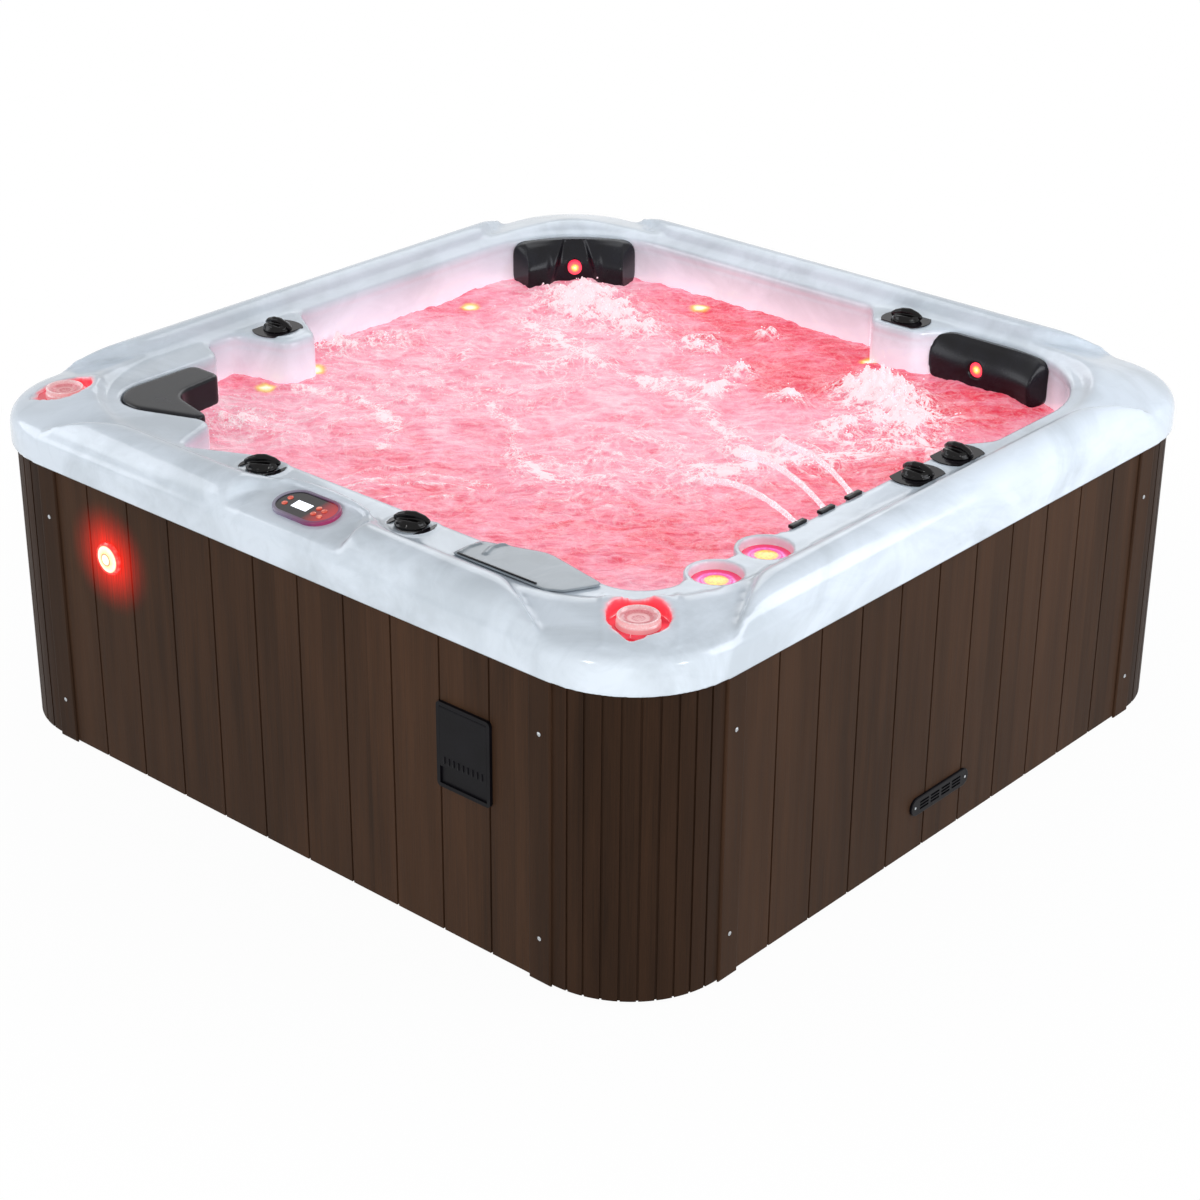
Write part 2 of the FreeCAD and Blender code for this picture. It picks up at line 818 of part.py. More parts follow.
def bolster():
    """Padded-looking roll along one side, moulded in the shell."""
    crease = (float(s.rimHalf - s.creaseDepth), float(lipTop + s.creaseHeight))
    outer = arcToCrest(crease)
    inner = arcToCrest((float(s.ridgeHalf), float(s.ridgeTop)))
    low = float(s.lipBottom + s.lipHeight / 2)
    lip = Vector(0, -float(s.rimHalf), float(lipTop))
    foot = Vector(0, -float(s.rimHalf), low)
    heel = Vector(0, -float(s.ridgeHalf), low)
    edges = [
        Part.LineSegment(foot, lip).toShape(),
        Part.LineSegment(lip, outer[0]).toShape(),
        Part.Arc(*outer).toShape(),
        Part.Arc(*inner[::-1]).toShape(),
        Part.LineSegment(inner[0], heel).toShape(),
        Part.LineSegment(heel, foot).toShape(),
    ]
    length = float(s.rimHalf) * 2
    prism = Part.Face(Part.Wire(edges)).extrude(Vector(length, 0, 0))
    prism.translate(Vector(-length / 2, 0, 0))
    inside = -float(s.ridgeHalf) + float(s.overrun)
    outside = -float(s.rimHalf) - float(s.overrun)
    plans = []
    for slope, height in ((0, low - float(s.overrun)), (s.bolsterEndSlope, s.crestTop + s.overrun)):
        narrow = float(s.bolsterInnerHalf - slope)
        wide = float(s.bolsterOuterHalf - slope)
        corners = [(-narrow, inside), (narrow, inside), (wide, outside), (-wide, outside)]
        corners = [Vector(x, y, float(height)) for x, y in corners]
        plans.append(Part.makePolygon(corners + corners[:1]))
    return prism.common(Part.makeLoft(plans, True, True))


def bolsterHollow(start, end):
    roof = float(s.crestTop) - float(s.shellWall) * 1.5
    low = float(s.lipBottom + s.plateauEdgeHeight - s.shellWall) - float(s.overrun)
    inside = float(s.ridgeHalf + s.shellWall)
    middle = float(crestHalf)
    outside = middle + float(s.railHeight) - float(s.overrun)
    shoulder = roof - float(s.shellWall)
    section = [(inside, low), (inside, shoulder), (middle, roof), (outside, shoulder), (outside, low)]
    flat = Part.makePolygon([Vector(0, -half, height) for half, height in section + section[:1]])
    prism = Part.Face(flat).extrude(Vector(end - start, 0, 0))
    prism.translate(Vector(start, 0, 0))
    return prism


railTop = s.lipBottom + s.plateauEdgeHeight - s.creaseHeight
ledgeUnder = s.ledgeTop - s.shellWall


def undersideHollow():
    outer = s.rimHalf - s.shellWall
    outerRadius = s.rimRadius - s.shellWall
    inner = outer - s.hollowChamferRun
    innerRadius = outerRadius - s.hollowChamferRun
    wires = [
        squareWire(outer, outerRadius, s.lipBottom - s.overrun),
        squareWire(outer, outerRadius, railTop - s.hollowChamferRun),
        squareWire(inner, innerRadius, railTop),
    ]
    main = Part.makeLoft(wires, True, True)
    edge = float(stepHalf - s.shellWall)
    high = squareWire(edge, float(stepRadius - s.shellWall), float(railTop - s.overrun))
    return main.fuse(rise(high, float(ledgeUnder - railTop + s.overrun)))


# Places of the fittings that pass through the shell (name, share of x, share of y)
knobShares = (
    ("front_left", -0.2105, -0.8220),
    ("front_right", 0.2230, -0.8155),
    ("left", -0.7990, -0.2420),
    ("back", 0.2590, 0.8200),
    ("right_near", 0.8245, 0.0690),
    ("right_far", 0.8250, 0.2140),
)
knobSpots = [(name, *share(x, y)) for name, x, y in knobShares]
speakerSpots = [
    ("near", float(s.speakerNearX), float(s.speakerNearY), 0.5),
    ("left", float(s.speakerLeftX), float(s.speakerLeftY), -0.5),
]
cupSpots = [(float(s.cupX), float(s.cupNearY)), (float(s.cupX), float(s.cupFarY))]
spoutSpots = [float(s.spoutFirstY + index * s.spoutPitch) for index in range(3)]

# Jets on the straight walls: (side, share along the side, height share), side 0 in front
jetShares = (
    (0, -0.160, 0.500), (0, -0.050, 0.500), (0, 0.060, 0.500), (0, 0.170, 0.500),
    (1, -0.420, 0.560), (1, -0.300, 0.560), (1, -0.180, 0.560), (1, -0.060, 0.560),
    (2, -0.050, 0.500), (2, 0.060, 0.500), (2, 0.250, 0.410), (2, 0.440, 0.410),
    (3, -0.060, 0.410), (3, -0.220, 0.410), (3, -0.380, 0.500), (3, -0.300, 0.560),
)
# Small lights just under the water: (side, share along the side, height share)
pointLightShares = ((2, 0.4105, 0.6290), (2, -0.1000, 0.6290), (3, -0.4640, 0.6260), (3, 0.0810, 0.6200))
wallHalves = [float(s.basinFront), float(s.basinRight), float(s.basinBack), float(s.basinLeft)]


def wallPlacement(side, along, height):
    """Local z points from a basin wall into the tub, on the side whose cabinet face is there."""
    stand = sideTurns[side].multiply(Rotation(Vector(1, 0, 0), -90))
    base = sideTurns[side].multVec(Vector(along, -wallHalves[side], height))
    return Placement(base, stand)


def onWall(shape, side, alongShare, heightShare):
    along, height = share(alongShare, heightShare)
    copy = shape.copy()
    copy.Placement = wallPlacement(side, along, height)
    return copy


# Light on the flank of the left lobe
def flankPlacement():
    corners = openingCorners()
    lobe = len(corners) - 4
    start = Vector(*corners[lobe][:2], 0)
    end = Vector(*corners[lobe + 1][:2], 0)
    along = (end - start).normalize()
    inward = Vector(-along.y, along.x, 0)
    middle = start + (end - start) * 0.45
    middle.z = share(flankLightHeightShare)[0]
    up = Vector(0, 0, 1)
    turn = Rotation(up.cross(inward), up, inward, "ZYX")
    return Placement(middle, turn)


flankLightHeightShare = 0.650


def keypadPlacement():
    base = Vector(float(s.keypadX), float(s.keypadY), float(s.pocketFloorHeight))
    return Placement(base, Rotation(Vector(1, 0, 0), float(s.keypadTilt)))


# Corners of the arched pocket round the keypad, from its centre (share of x, share of y, radius share)
pocketShares = (
    (-0.180, -0.115, 0.010),
    (0.180, -0.115, 0.010),
    (0.150, 0.054, 0.075),
    (-0.150, 0.054, 0.075),
)
hoodShares = (-0.205, 0.235, 0.062)


def keypadPocket():
    low = 0
    pocketWire = rounded([share(*corner) for corner in pocketShares], low)
    cutter = rise(pocketWire, s.cutHeight)
    neck = stadiumWire(s.keypadLength - 2 * s.keypadNeckInset + s.fitClearance,
                       s.keypadWidth - 2 * s.keypadNeckInset + s.fitClearance, -s.cutHeight)
    cutter = cutter.fuse(rise(neck, s.cutHeight + s.overrun))
    cutter.Placement = keypadPlacement()
    return cutter


def stadiumWire(length, width, height):
    radius = float(width) / 2
    reach = float(length) / 2 - radius
    left = Vector(-reach, 0, float(height))
    right = Vector(reach, 0, float(height))
    side = Vector(0, radius, 0)
    tip = Vector(radius, 0, 0)
    edges = [
        Part.LineSegment(left - side, right - side).toShape(),
        Part.Arc(right - side, right + tip, right + side).toShape(),
        Part.LineSegment(right + side, left + side).toShape(),
        Part.Arc(left + side, left - tip, left - side).toShape(),
    ]
    return Part.Wire(edges)


def hood():
    """The ridge bulges into the tub round the keypad."""
    left, right, reach = share(*hoodShares)
    base = -float(s.ridgeHalf)
    middle = (left + right) / 2 + float(s.keypadX) / 2
    back = base - float(s.overrun)
    edges = [
        Part.Arc(Vector(left, base, 0), Vector(middle, base + reach, 0), Vector(right, base, 0)).toShape(),
        Part.LineSegment(Vector(right, base, 0), Vector(right, back, 0)).toShape(),
        Part.LineSegment(Vector(right, back, 0), Vector(left, back, 0)).toShape(),
        Part.LineSegment(Vector(left, back, 0), Vector(left, base, 0)).toShape(),
    ]
    wire = Part.Wire(edges)
    wire.translate(Vector(0, 0, float(ledgeUnder)))
    return rise(wire, s.ridgeTop - ledgeUnder)


def speakerRecess(x, y, lean):
    centre = Vector(x, y, float(s.speakerFloor))
    radius = float(s.speakerRecessRadius)
    height = float(s.ridgeTop + s.overrun - s.speakerFloor)
    bowl = tube(radius, height, centre, Vector(0, 0, 1))
    direction = Vector(lean, -math.sqrt(1 - lean * lean), 0)
    across = Vector(direction.y, -direction.x, 0)
    reach = float(s.speakerTip)
    touch = math.acos(radius / reach)
    points = [centre + direction * reach]
    for sign in (1, -1):
        spot = direction * (radius * math.cos(touch)) + across * (sign * radius * math.sin(touch))
        points.append(centre + spot)
    tip = Part.Face(Part.makePolygon(points + points[:1])).extrude(Vector(0, 0, height))
    hole = tube(float(s.speakerCanRadius + s.fitClearance), height * 3, centre - Vector(0, 0, height), Vector(0, 0, 1))
    return bowl.fuse([tip, hole])


def rectanglePrism(low, high):
    size = high - low
    return Part.makeBox(size.x, size.y, size.z, low)


def wellCorners(inset):
    inset = float(inset)
    left = float(s.wellLeft) + inset
    right = float(s.wellRight) - inset
    front = -float(s.wellFront) + inset
    back = -float(s.wellBack) - inset
    radius = float(s.wellRadius) - inset
    return [(left, front, radius), (right, front, radius), (right, back, radius), (left, back, radius)]


wellFloor = s.ledgeTop - s.wellDepth
mouthMiddle = (s.wellLeft + s.wellRight) / 2
bulgeFront = s.basinFront - share(*filterBulgeShares)[2]


def mouthCut(front, back, slack):
    half = float(s.mouthWidth) / 2 + slack
    middle = float(mouthMiddle)
    low = Vector(middle - half, front, float(s.mouthBottom) - slack)
    high = Vector(middle + half, back, float(s.mouthTop) + slack)
    return rectanglePrism(low, high)


def shellShape():
    rim = rimBody()
    rim = rim.fuse([turned(bolster(), side) for side in range(4)])
    recess = Part.makeLoft([
        squareWire(stepHalf, stepRadius, s.ledgeTop),
        squareWire(s.ridgeHalf, s.ridgeRadius, s.ridgeTop),
    ], True, True)
    mouth = rise(squareWire(s.ridgeHalf, s.ridgeRadius, s.ridgeTop), s.cutHeight)
    rim = rim.cut([recess, mouth]).fuse(hood())
    rim = rim.cut(undersideHollow())
    reach = float(s.bolsterInnerHalf) - float(s.railHeight)
    keypadRoom = float(s.keypadLength) + float(s.railHeight)
    hollows = [turned(bolsterHollow(-reach, reach), side) for side in (1, 2, 3)]
    hollows.append(bolsterHollow(-reach, -keypadRoom))
    hollows.append(bolsterHollow(keypadRoom, reach))
    rim = rim.cut(hollows)
    whole = float(s.rimHalf) * 2
    under = Part.makeBox(whole, whole, float(s.ledgeTop), Vector(-whole / 2, -whole / 2, 0))
    tubOuter = basinSpace(s.shellWall).common(under)
    cupDown = Vector(0, 0, -1)
    cupSolids = []
    for x, y in cupSpots:
        deep = float(s.cupDepth + s.shellWall)
        cupSolids.append(tube(s.cupLobeRadius, deep, Vector(x, y, float(s.ledgeTop)), cupDown))
    shell = rim.fuse(tubOuter).cut(basinSpace(0)).fuse(cupSolids)
    cutters = [keypadPocket()]
    for x, y in cupSpots:
        cutters.append(tube(s.cupRadius, s.cupDepth + s.ridgeTop, Vector(x, y, float(s.ledgeTop - s.cupDepth)),
                            Vector(0, 0, 1)))
    for name, x, y in knobSpots:
        hole = tube(s.valveRadius + s.fitClearance, s.railHeight, Vector(x, y, float(s.ledgeTop + s.overrun)),
                    Vector(0, 0, -1))
        cutters.append(hole)
    for name, x, y, lean in speakerSpots:
        cutters.append(speakerRecess(x, y, lean))
    wellHole = rounded(wellCorners(0), float(ledgeUnder) - float(s.overrun))
    cutters.append(rise(wellHole, s.shellWall + 2 * s.overrun))
    cutters.append(mouthCut(-float(bulgeFront + s.shellWall + s.overrun), -float(bulgeFront - s.overrun), 0.0))
    for y in spoutSpots:
        half = float(s.spoutLength + s.fitClearance) / 2
        low = Vector(float(s.basinRight - s.overrun), y - half, float(s.spoutTop - s.spoutHeight - s.fitClearance))
        high = Vector(float(s.basinRight + s.shellWall + s.overrun), y + half, float(s.spoutTop))
        cutters.append(rectanglePrism(low, high))
    through = float(s.shellWall + 2 * s.overrun)
    start = Vector(0, 0, -float(s.shellWall + s.overrun))
    jetHole = tube(s.jetBodyRadius + s.fitClearance / 2, through, start, Vector(0, 0, 1))
    cutters += [onWall(jetHole, *spot) for spot in jetShares]
    lightHole = tube(s.pointLightShank + s.fitClearance / 2, through, start, Vector(0, 0, 1))
    cutters += [onWall(lightHole, *spot) for spot in pointLightShares]
    flank = lightHole.copy()
    flank.Placement = flankPlacement()
    cutters.append(flank)
    return shell.cut(cutters)


feature("shell", shellShape())

# Cabinet

panelHalf = s.cabinetHalf - s.cornerRadius - s.cornerGap


def sidePanel(label, side, holes):
    body = newBody(label)
    outline = newSketch(body)
    height = s.panelTop - s.panelBottom
    middle = (s.panelTop + s.panelBottom) / 2
    drawRectangle(outline, panelHalf * 2, height, 0, middle)
    pad(body, outline, s.panelThickness, backward=True)
    groove = newSketch(body)
    drawRectangle(groove, s.boardGrooveWidth, height + 2 * s.overrun, -4.5 * s.boardPitch, middle)
    first = pocket(body, groove, s.boardGrooveDepth)
    linear(body, first, "X_Axis", s.boardPitch * 9, 10)
    for draw in holes:
        opening = newSketch(body)
        draw(opening)
        pocket(body, opening, s.panelThickness + s.overrun)
    body.Placement = sidePlacement(side, 0, 0)
    return keep(body, label)


def breakerHole(sketch):
    width = s.breakerWidth - 2 * s.breakerFlange + s.breakerWall * 2
    height = s.breakerHeight - 2 * s.breakerFlange + s.breakerWall * 2
    drawRectangle(sketch, width + s.fitClearance, height + s.fitClearance, s.breakerX, s.breakerZ)


def beaconOpening(sketch):
    drawCircle(sketch, s.beaconHole + s.fitClearance / 2, s.beaconX, s.beaconZ)


def ventOpening(sketch):
    inset = s.ventProud * 2
    drawStadium(sketch, s.ventLength - inset + s.fitClearance, s.ventHeight - inset + s.fitClearance,
                s.ventY, s.ventZ)


sidePanel("panel_front", 0, [breakerHole, beaconOpening])
sidePanel("panel_right", 1, [ventOpening])
sidePanel("panel_back", 2, [])
sidePanel("panel_left", 3, [])


def cornerPanel(label, side):
    """Quarter-round tambour of upright slats."""
    body = newBody(label)
    wall = newSketch(body, "XZ_Plane")
    inner = s.cornerRadius - s.panelThickness
    points = [(inner, s.panelBottom), (s.cornerRadius, s.panelBottom)]
    points += [(s.cornerRadius, s.panelTop), (inner, s.panelTop)]
    drawPolygon(wall, points)
    turn = spin(body, wall, 90)
    turn.Midplane = True
    slot = newSketch(body)
    drawRectangle(slot, 2 * s.slatGrooveDepth, s.slatGrooveWidth, s.cornerRadius, 0)
    cut = pocket(body, slot, 2 * (s.panelTop + s.overrun), midplane=True)
    slats = 10
    step = 90.0 / slats
    polar(body, cut, "Z_Axis", step * (slats // 2 - 1), slats // 2)
    back = polar(body, cut, "Z_Axis", step * (slats // 2 - 1), slats // 2)
    back.Reversed = True
    reach = float(s.cabinetHalf - s.cornerRadius)
    base = sideTurns[side].multVec(Vector(reach, -reach, 0))
    stand = sideTurns[side].multiply(Rotation(Vector(0, 0, 1), -45))
    body.Placement = Placement(base, stand)
    return keep(body, label)


cornerPanel("corner_near", 0)
cornerPanel("corner_right", 1)
cornerPanel("corner_far", 2)
cornerPanel("corner_left", 3)

# Trim strips over the panel joints
stripOffset = s.cabinetHalf - s.cornerRadius - s.trimWidth / 2 + s.cornerGap
stripBody = newBody("strip")
stripSketch = newSketch(stripBody)
stripMiddle = (s.trimTop + s.trimBottom) / 2
drawRectangle(stripSketch, s.trimWidth, s.trimTop - s.trimBottom, 0, stripMiddle)
for height in (s.screwLow, s.screwHigh):
    drawCircle(stripSketch, s.screwShankRadius + s.fitClearance / 2, 0, height)
pad(stripBody, stripSketch, s.trimThickness)


def frontRim(edge):
    box = edge.BoundBox
    front = abs(box.ZMin - float(s.trimThickness)) < 1e-4
    return front and isinstance(edge.Curve, Part.Line) and box.YMin < float(s.trimTop - s.overrun)


roundEdges(stripBody, frontRim, s.trimBevel - s.fitClearance)
document.recompute()

screwBody = newBody("screw")
screwSketch = newSketch(screwBody)
shank = s.screwShankRadius
drawPolygon(screwSketch, [
    (0, -s.screwLength), (shank, -s.screwLength), (shank, 0), (s.screwHeadRadius, 0),
    (s.screwHeadRadius, s.screwHeadHeight / 3), (s.screwHeadRadius / 2, s.screwHeadHeight),
    (0, s.screwHeadHeight),
])
spin(screwBody, screwSketch)
document.recompute()
screwTurned = screwBody.Shape.copy()
screwTurned.Placement = Placement(Vector(), Rotation(Vector(1, 0, 0), 90))

strips = []
screws = []
for side in range(4):
    for sign in (-1, 1):
        strip = stripBody.Shape.copy()
        strip.Placement = sidePlacement(side, sign * float(stripOffset), 0)
        strips.append(strip)
        for height in (s.screwLow, s.screwHigh):
            screw = Part.makeCompound([screwTurned]).Solids[0]
            spot = sidePlacement(side, sign * float(stripOffset), height, s.trimThickness)
            screw.Placement = spot.multiply(screw.Placement)
            screws.append(screw)
group("trim_strips", strips)
group("trim_screws", screws)
for side, label in enumerate(("panel_front", "panel_right", "panel_back", "panel_left")):
    body = [node for node in nodes if node.Label == label][0]
    holes = newSketch(body)
    for sign in (-1, 1):
        for height in (s.screwLow, s.screwHigh):
            drawCircle(holes, s.screwShankRadius, sign * stripOffset, height)
    pocket(body, holes, s.screwLength - s.trimThickness)

# Base pan, frame and shell supports
panBody = newBody("base_pan")
panSketch = newSketch(panBody)
panHalf = s.cabinetHalf - s.panelThickness
drawRoundedRectangle(panSketch, panHalf * 2, panHalf * 2, s.cornerRadius - s.panelThickness)
pad(panBody, panSketch, s.panThickness)
keep(panBody, "base_pan")

railBottom = s.panThickness
postBottom = railBottom + s.railHeight
postTop = railTop - s.railHeight
railInner = panHalf - s.railWidth


def frameBar(length, height, along, low):
    """Timber bar on the front side: length by railWidth by height."""
    bar = document.addObject("Part::Box", "bar")
    bind(bar, "Length", length)
    bind(bar, "Width", s.railWidth)
    bind(bar, "Height", height)
    place(bar, along - length / 2, -panHalf, low)
    return bar


bars = [frameBar(2 * s.railHalf, s.railHeight, asSize(0), railBottom)]
bars.append(frameBar(2 * s.railHalf, s.railHeight, asSize(0), postTop))
posts = []
for along in (-1 * s.postOuter, -1 * s.postInner, s.postInner, s.postOuter):
    posts.append(frameBar(s.postWidth, postTop - postBottom, along, postBottom))
document.recompute()
group("frame_rails", [turned(bar.Shape, side) for side in range(4) for bar in bars])
group("frame_posts", [turned(post.Shape, side) for side in range(4) for post in posts])

supportBoxes = []
supportHeight = s.footwellTop - s.shellWall - s.panThickness
for signX in (-1, 1):
    for signY in (-1, 1):
        support = document.addObject("Part::Box", "support")
        bind(support, "Length", s.supportWidth)
        bind(support, "Width", s.supportWidth)
        bind(support, "Height", supportHeight)
        reachX = s.footwellLeft / 2
        reachY = s.footwellFront / 2
        place(support, signX * reachX - s.supportWidth / 2, signY * reachY - s.supportWidth / 2, s.panThickness)
        supportBoxes.append(support)
supports = document.addObject("Part::Compound", "shell_supports")
supports.Links = supportBoxes
keep(supports, "shell_supports")

# Valve knobs on the ledge
plateBody = newBody("plate")
plateSketch = newSketch(plateBody, "XZ_Plane")
plateHole = s.stemRadius + s.knobGap
drawPolygon(plateSketch, [
    (plateHole, 0), (s.plateRadius, 0), (s.plateRadius, s.plateThickness / 3),
    (s.plateRadius - s.plateThickness, s.plateThickness), (plateHole, s.plateThickness),
])
spin(plateBody, plateSketch)

valveBody = newBody("valve")
valveSketch = newSketch(valveBody, "XZ_Plane")
drawPolygon(valveSketch, [
    (0, -s.valveDepth), (s.valveRadius, -s.valveDepth), (s.valveRadius, 0), (plateHole, 0),
    (plateHole, -s.valveDepth / 3), (0, -s.valveDepth / 3),
])
spin(valveBody, valveSketch)

knobBase = s.plateThickness + s.knobGap
knobModel = newBody("knob")
knobSketch = newSketch(knobModel, "XZ_Plane")
stemEnd = -s.valveDepth / 3 + s.knobGap
drawPolygon(knobSketch, [
    (0, stemEnd), (s.stemRadius, stemEnd), (s.stemRadius, knobBase),
    (s.knobRadius + s.knobSkirt, knobBase), (s.knobRadius + s.knobSkirt, knobBase + s.knobSkirt),
    (s.knobRadius, knobBase + s.knobHeight * 0.6), (s.knobRadius * 0.8, knobBase + s.knobHeight * 0.92),
    (0, knobBase + s.knobHeight),
])
spin(knobModel, knobSketch)
# Curled wing across the cap, in shares of its length and width
wingShares = (
    (-0.46, -0.30), (-0.20, -0.50), (0.16, -0.42), (0.44, 0.05), (0.50, 0.62),
    (0.36, 0.50), (0.12, 0.38), (-0.20, 0.46), (-0.44, 0.28),
)
wing = newSketch(knobModel, "XY_Plane", knobBase + s.knobHeight * 0.5)
drawPolygon(wing, [(s.finLength * x, s.finWidth * y) for x, y in wingShares])
pad(knobModel, wing, s.knobHeight * 0.5 + s.finHeight)


def upright(edge):
    box = edge.BoundBox
    low = float(knobBase + s.knobHeight - 2 * s.knobSkirt)
    return box.ZMin > low and box.XLength + box.YLength < 1e-6


roundEdges(knobModel, upright, s.knobSkirt / 2)
document.recompute()

knobTurns = {"front_left": 30, "front_right": 150, "left": 60, "back": 200, "right_near": 20, "right_far": 35}
plates = []
valves = []
for name, x, y in knobSpots:
    spot = Vector(x, y, float(s.ledgeTop))
    for source, copies in ((plateBody, plates), (valveBody, valves)):
        copy = source.Shape.copy()
        copy.translate(spot)
        copies.append(copy)
    knob = knobModel.Shape.copy()
    knob.Placement = Placement(spot, Rotation(Vector(0, 0, 1), knobTurns[name]))
    feature("knob_" + name, knob)
group("valve_plates", plates)
group("valve_bodies", valves)


def placed(label, body, placement):
    """A body that sits in its own frame, put where it belongs."""
    body.Placement = placement
    return keep(body, label)


# Control keypad in the arched pocket
housing = newBody("keypadHousing")
housingOutline = newSketch(housing)
drawStadium(housingOutline, s.keypadLength, s.keypadWidth)
pad(housing, housingOutline, s.keypadRim)
housingNeck = newSketch(housing)
neckLength = s.keypadLength - 2 * s.keypadNeckInset
neckWidth = s.keypadWidth - 2 * s.keypadNeckInset
drawStadium(housingNeck, neckLength, neckWidth)
pad(housing, housingNeck, s.keypadNeckDepth, backward=True)
roundEdges(housing, atHeight(s.keypadRim), s.keypadRim / 3)
housingFace = newSketch(housing, "XY_Plane", s.keypadRim)
faceInset = s.keypadRim * 0.8
drawStadium(housingFace, s.keypadLength - 2 * faceInset, s.keypadWidth - 2 * faceInset)
pocket(housing, housingFace, s.keypadRim - s.keypadFloor)
placed("keypad_housing", housing, keypadPlacement())

# Places on the keypad face in shares of its length and width
screenShares = (-0.07, -0.02)
buttonShares = (
    ("light", -0.340, 0.080),
    ("display", -0.315, -0.140),
    ("jets", 0.165, 0.095),
    ("blower", 0.270, 0.075),
    ("cooler", 0.190, -0.125),
    ("warmer", 0.305, -0.145),
)
faceTop = s.keypadFloor + s.facePlateThickness
buttonSpots = [(name, s.keypadLength * x, s.keypadWidth * y) for name, x, y in buttonShares]
screenX = s.keypadLength * screenShares[0]
screenY = s.keypadWidth * screenShares[1]

facePlate = newBody("keypadFace")
faceOutline = newSketch(facePlate, "XY_Plane", s.keypadFloor)
drawStadium(faceOutline, s.keypadLength - 2 * faceInset - s.buttonGap, s.keypadWidth - 2 * faceInset - s.buttonGap)
drawRectangle(faceOutline, s.screenLength, s.screenWidth, screenX, screenY)
for name, x, y in buttonSpots:
    drawCircle(faceOutline, s.buttonRadius + s.buttonGap, x, y)
pad(facePlate, faceOutline, s.facePlateThickness)
placed("keypad_face", facePlate, keypadPlacement())

screen = newBody("keypadScreen")
screenOutline = newSketch(screen, "XY_Plane", s.keypadFloor)
drawRectangle(screenOutline, s.screenLength - s.buttonGap, s.screenWidth - s.buttonGap, screenX, screenY)
pad(screen, screenOutline, s.facePlateThickness + s.buttonGap)
placed("keypad_screen", screen, keypadPlacement())

for name, x, y in buttonSpots:
    button = newBody("button" + name.capitalize())
    buttonSketch = newSketch(button, "XZ_Plane")
    low = s.keypadFloor + s.buttonTravel + s.buttonGap / 2
    top = faceTop + s.buttonProud
    drawPolygon(buttonSketch, [
        (0, low), (s.buttonRadius, low), (s.buttonRadius, top - s.buttonProud / 3),
        (s.buttonRadius * 0.7, top), (0, top),
    ])
    spin(button, buttonSketch)
    shift = Placement(Vector(float(x), float(y), 0), Rotation())
    placed("button_" + name, button, keypadPlacement().multiply(shift))

# Pop-up speakers
can = newBody("speakerCan")
canSketch = newSketch(can, "XZ_Plane")
canBore = s.speakerCapRadius + s.buttonGap
canWallThickness = s.speakerCanRadius - canBore
flange = s.speakerRecessRadius - s.fitClearance
canFlange = canWallThickness
drawPolygon(canSketch, [
    (0, -s.speakerCanDepth), (s.speakerCanRadius, -s.speakerCanDepth), (s.speakerCanRadius, 0),
    (flange, 0), (flange, canFlange), (canBore, canFlange),
    (canBore, -s.speakerCanDepth + canWallThickness), (0, -s.speakerCanDepth + canWallThickness),
])
spin(can, canSketch)
document.recompute()
cans = []
for name, x, y, lean in speakerSpots:
    copy = can.Shape.copy()
    copy.translate(Vector(x, y, float(s.speakerFloor)))
    cans.append(copy)
group("speaker_housings", cans)

capTop = s.speakerCapTop - s.speakerFloor
for name, x, y, lean in speakerSpots:
    cap = newBody("speaker" + name.capitalize())
    capSketch = newSketch(cap, "XZ_Plane")
    body = s.speakerCapRadius - s.shellWall
    drawPolygon(capSketch, [
        (0, capTop - s.speakerBodyDepth), (body, capTop - s.speakerBodyDepth),
        (s.speakerCapRadius, capTop - s.speakerBodyDepth + s.shellWall),
        (s.speakerCapRadius, capTop - s.shellWall), (s.speakerCapRadius * 0.9, capTop - s.shellWall * 0.3),
        (s.speakerCapRadius * 0.62, capTop), (s.speakerCapRadius * 0.5, capTop - s.shellWall * 0.4),
        (0, capTop - s.shellWall * 0.5),
    ])
    spin(cap, capSketch)
    spot = Vector(x, y, float(s.speakerFloor))
    placed("speaker_" + name, cap, Placement(spot, Rotation()))

# Lit lenses of the cup holders
lens = newBody("cupLens")
lensSketch = newSketch(lens, "XZ_Plane")
lensRadius = s.cupRadius - s.fitClearance
drawPolygon(lensSketch, [
    (0, 0), (lensRadius, 0), (lensRadius, s.cupLensThickness * 0.6), (lensRadius * 0.94, s.cupLensThickness),
    (lensRadius * 0.62, s.cupLensThickness * 0.8), (lensRadius * 0.56, s.cupLensThickness),
    (0, s.cupLensThickness * 1.2),
])
spin(lens, lensSketch)
document.recompute()
lenses = []
for x, y in cupSpots:
    copy = lens.Shape.copy()
    copy.translate(Vector(x, y, float(s.ledgeTop - s.cupDepth)))
    lenses.append(copy)
group("cup_holder_lenses", lenses)

# Waterfall spouts in the right wall
spout = newBody("spout")
spoutOutline = newSketch(spout, "YZ_Plane")
drawRectangle(spoutOutline, s.spoutLength, s.spoutHeight, 0, -s.spoutHeight / 2)
spoutRun = s.spoutProud + s.spoutBodyDepth
pad(spout, spoutOutline, spoutRun)
spoutMouth = newSketch(spout, "YZ_Plane")
drawRectangle(spoutMouth, s.spoutLength - 2 * s.spoutWall, s.spoutHeight - 2 * s.spoutWall, 0, -s.spoutHeight / 2)
pocket(spout, spoutMouth, spoutRun - s.spoutWall, backward=True)
document.recompute()
spouts = []
for y in spoutSpots:
    copy = spout.Shape.copy()
    copy.translate(Vector(float(s.basinRight - s.spoutProud), y, float(s.spoutTop - s.fitClearance / 2)))
    spouts.append(copy)
group("waterfall_spouts", spouts)

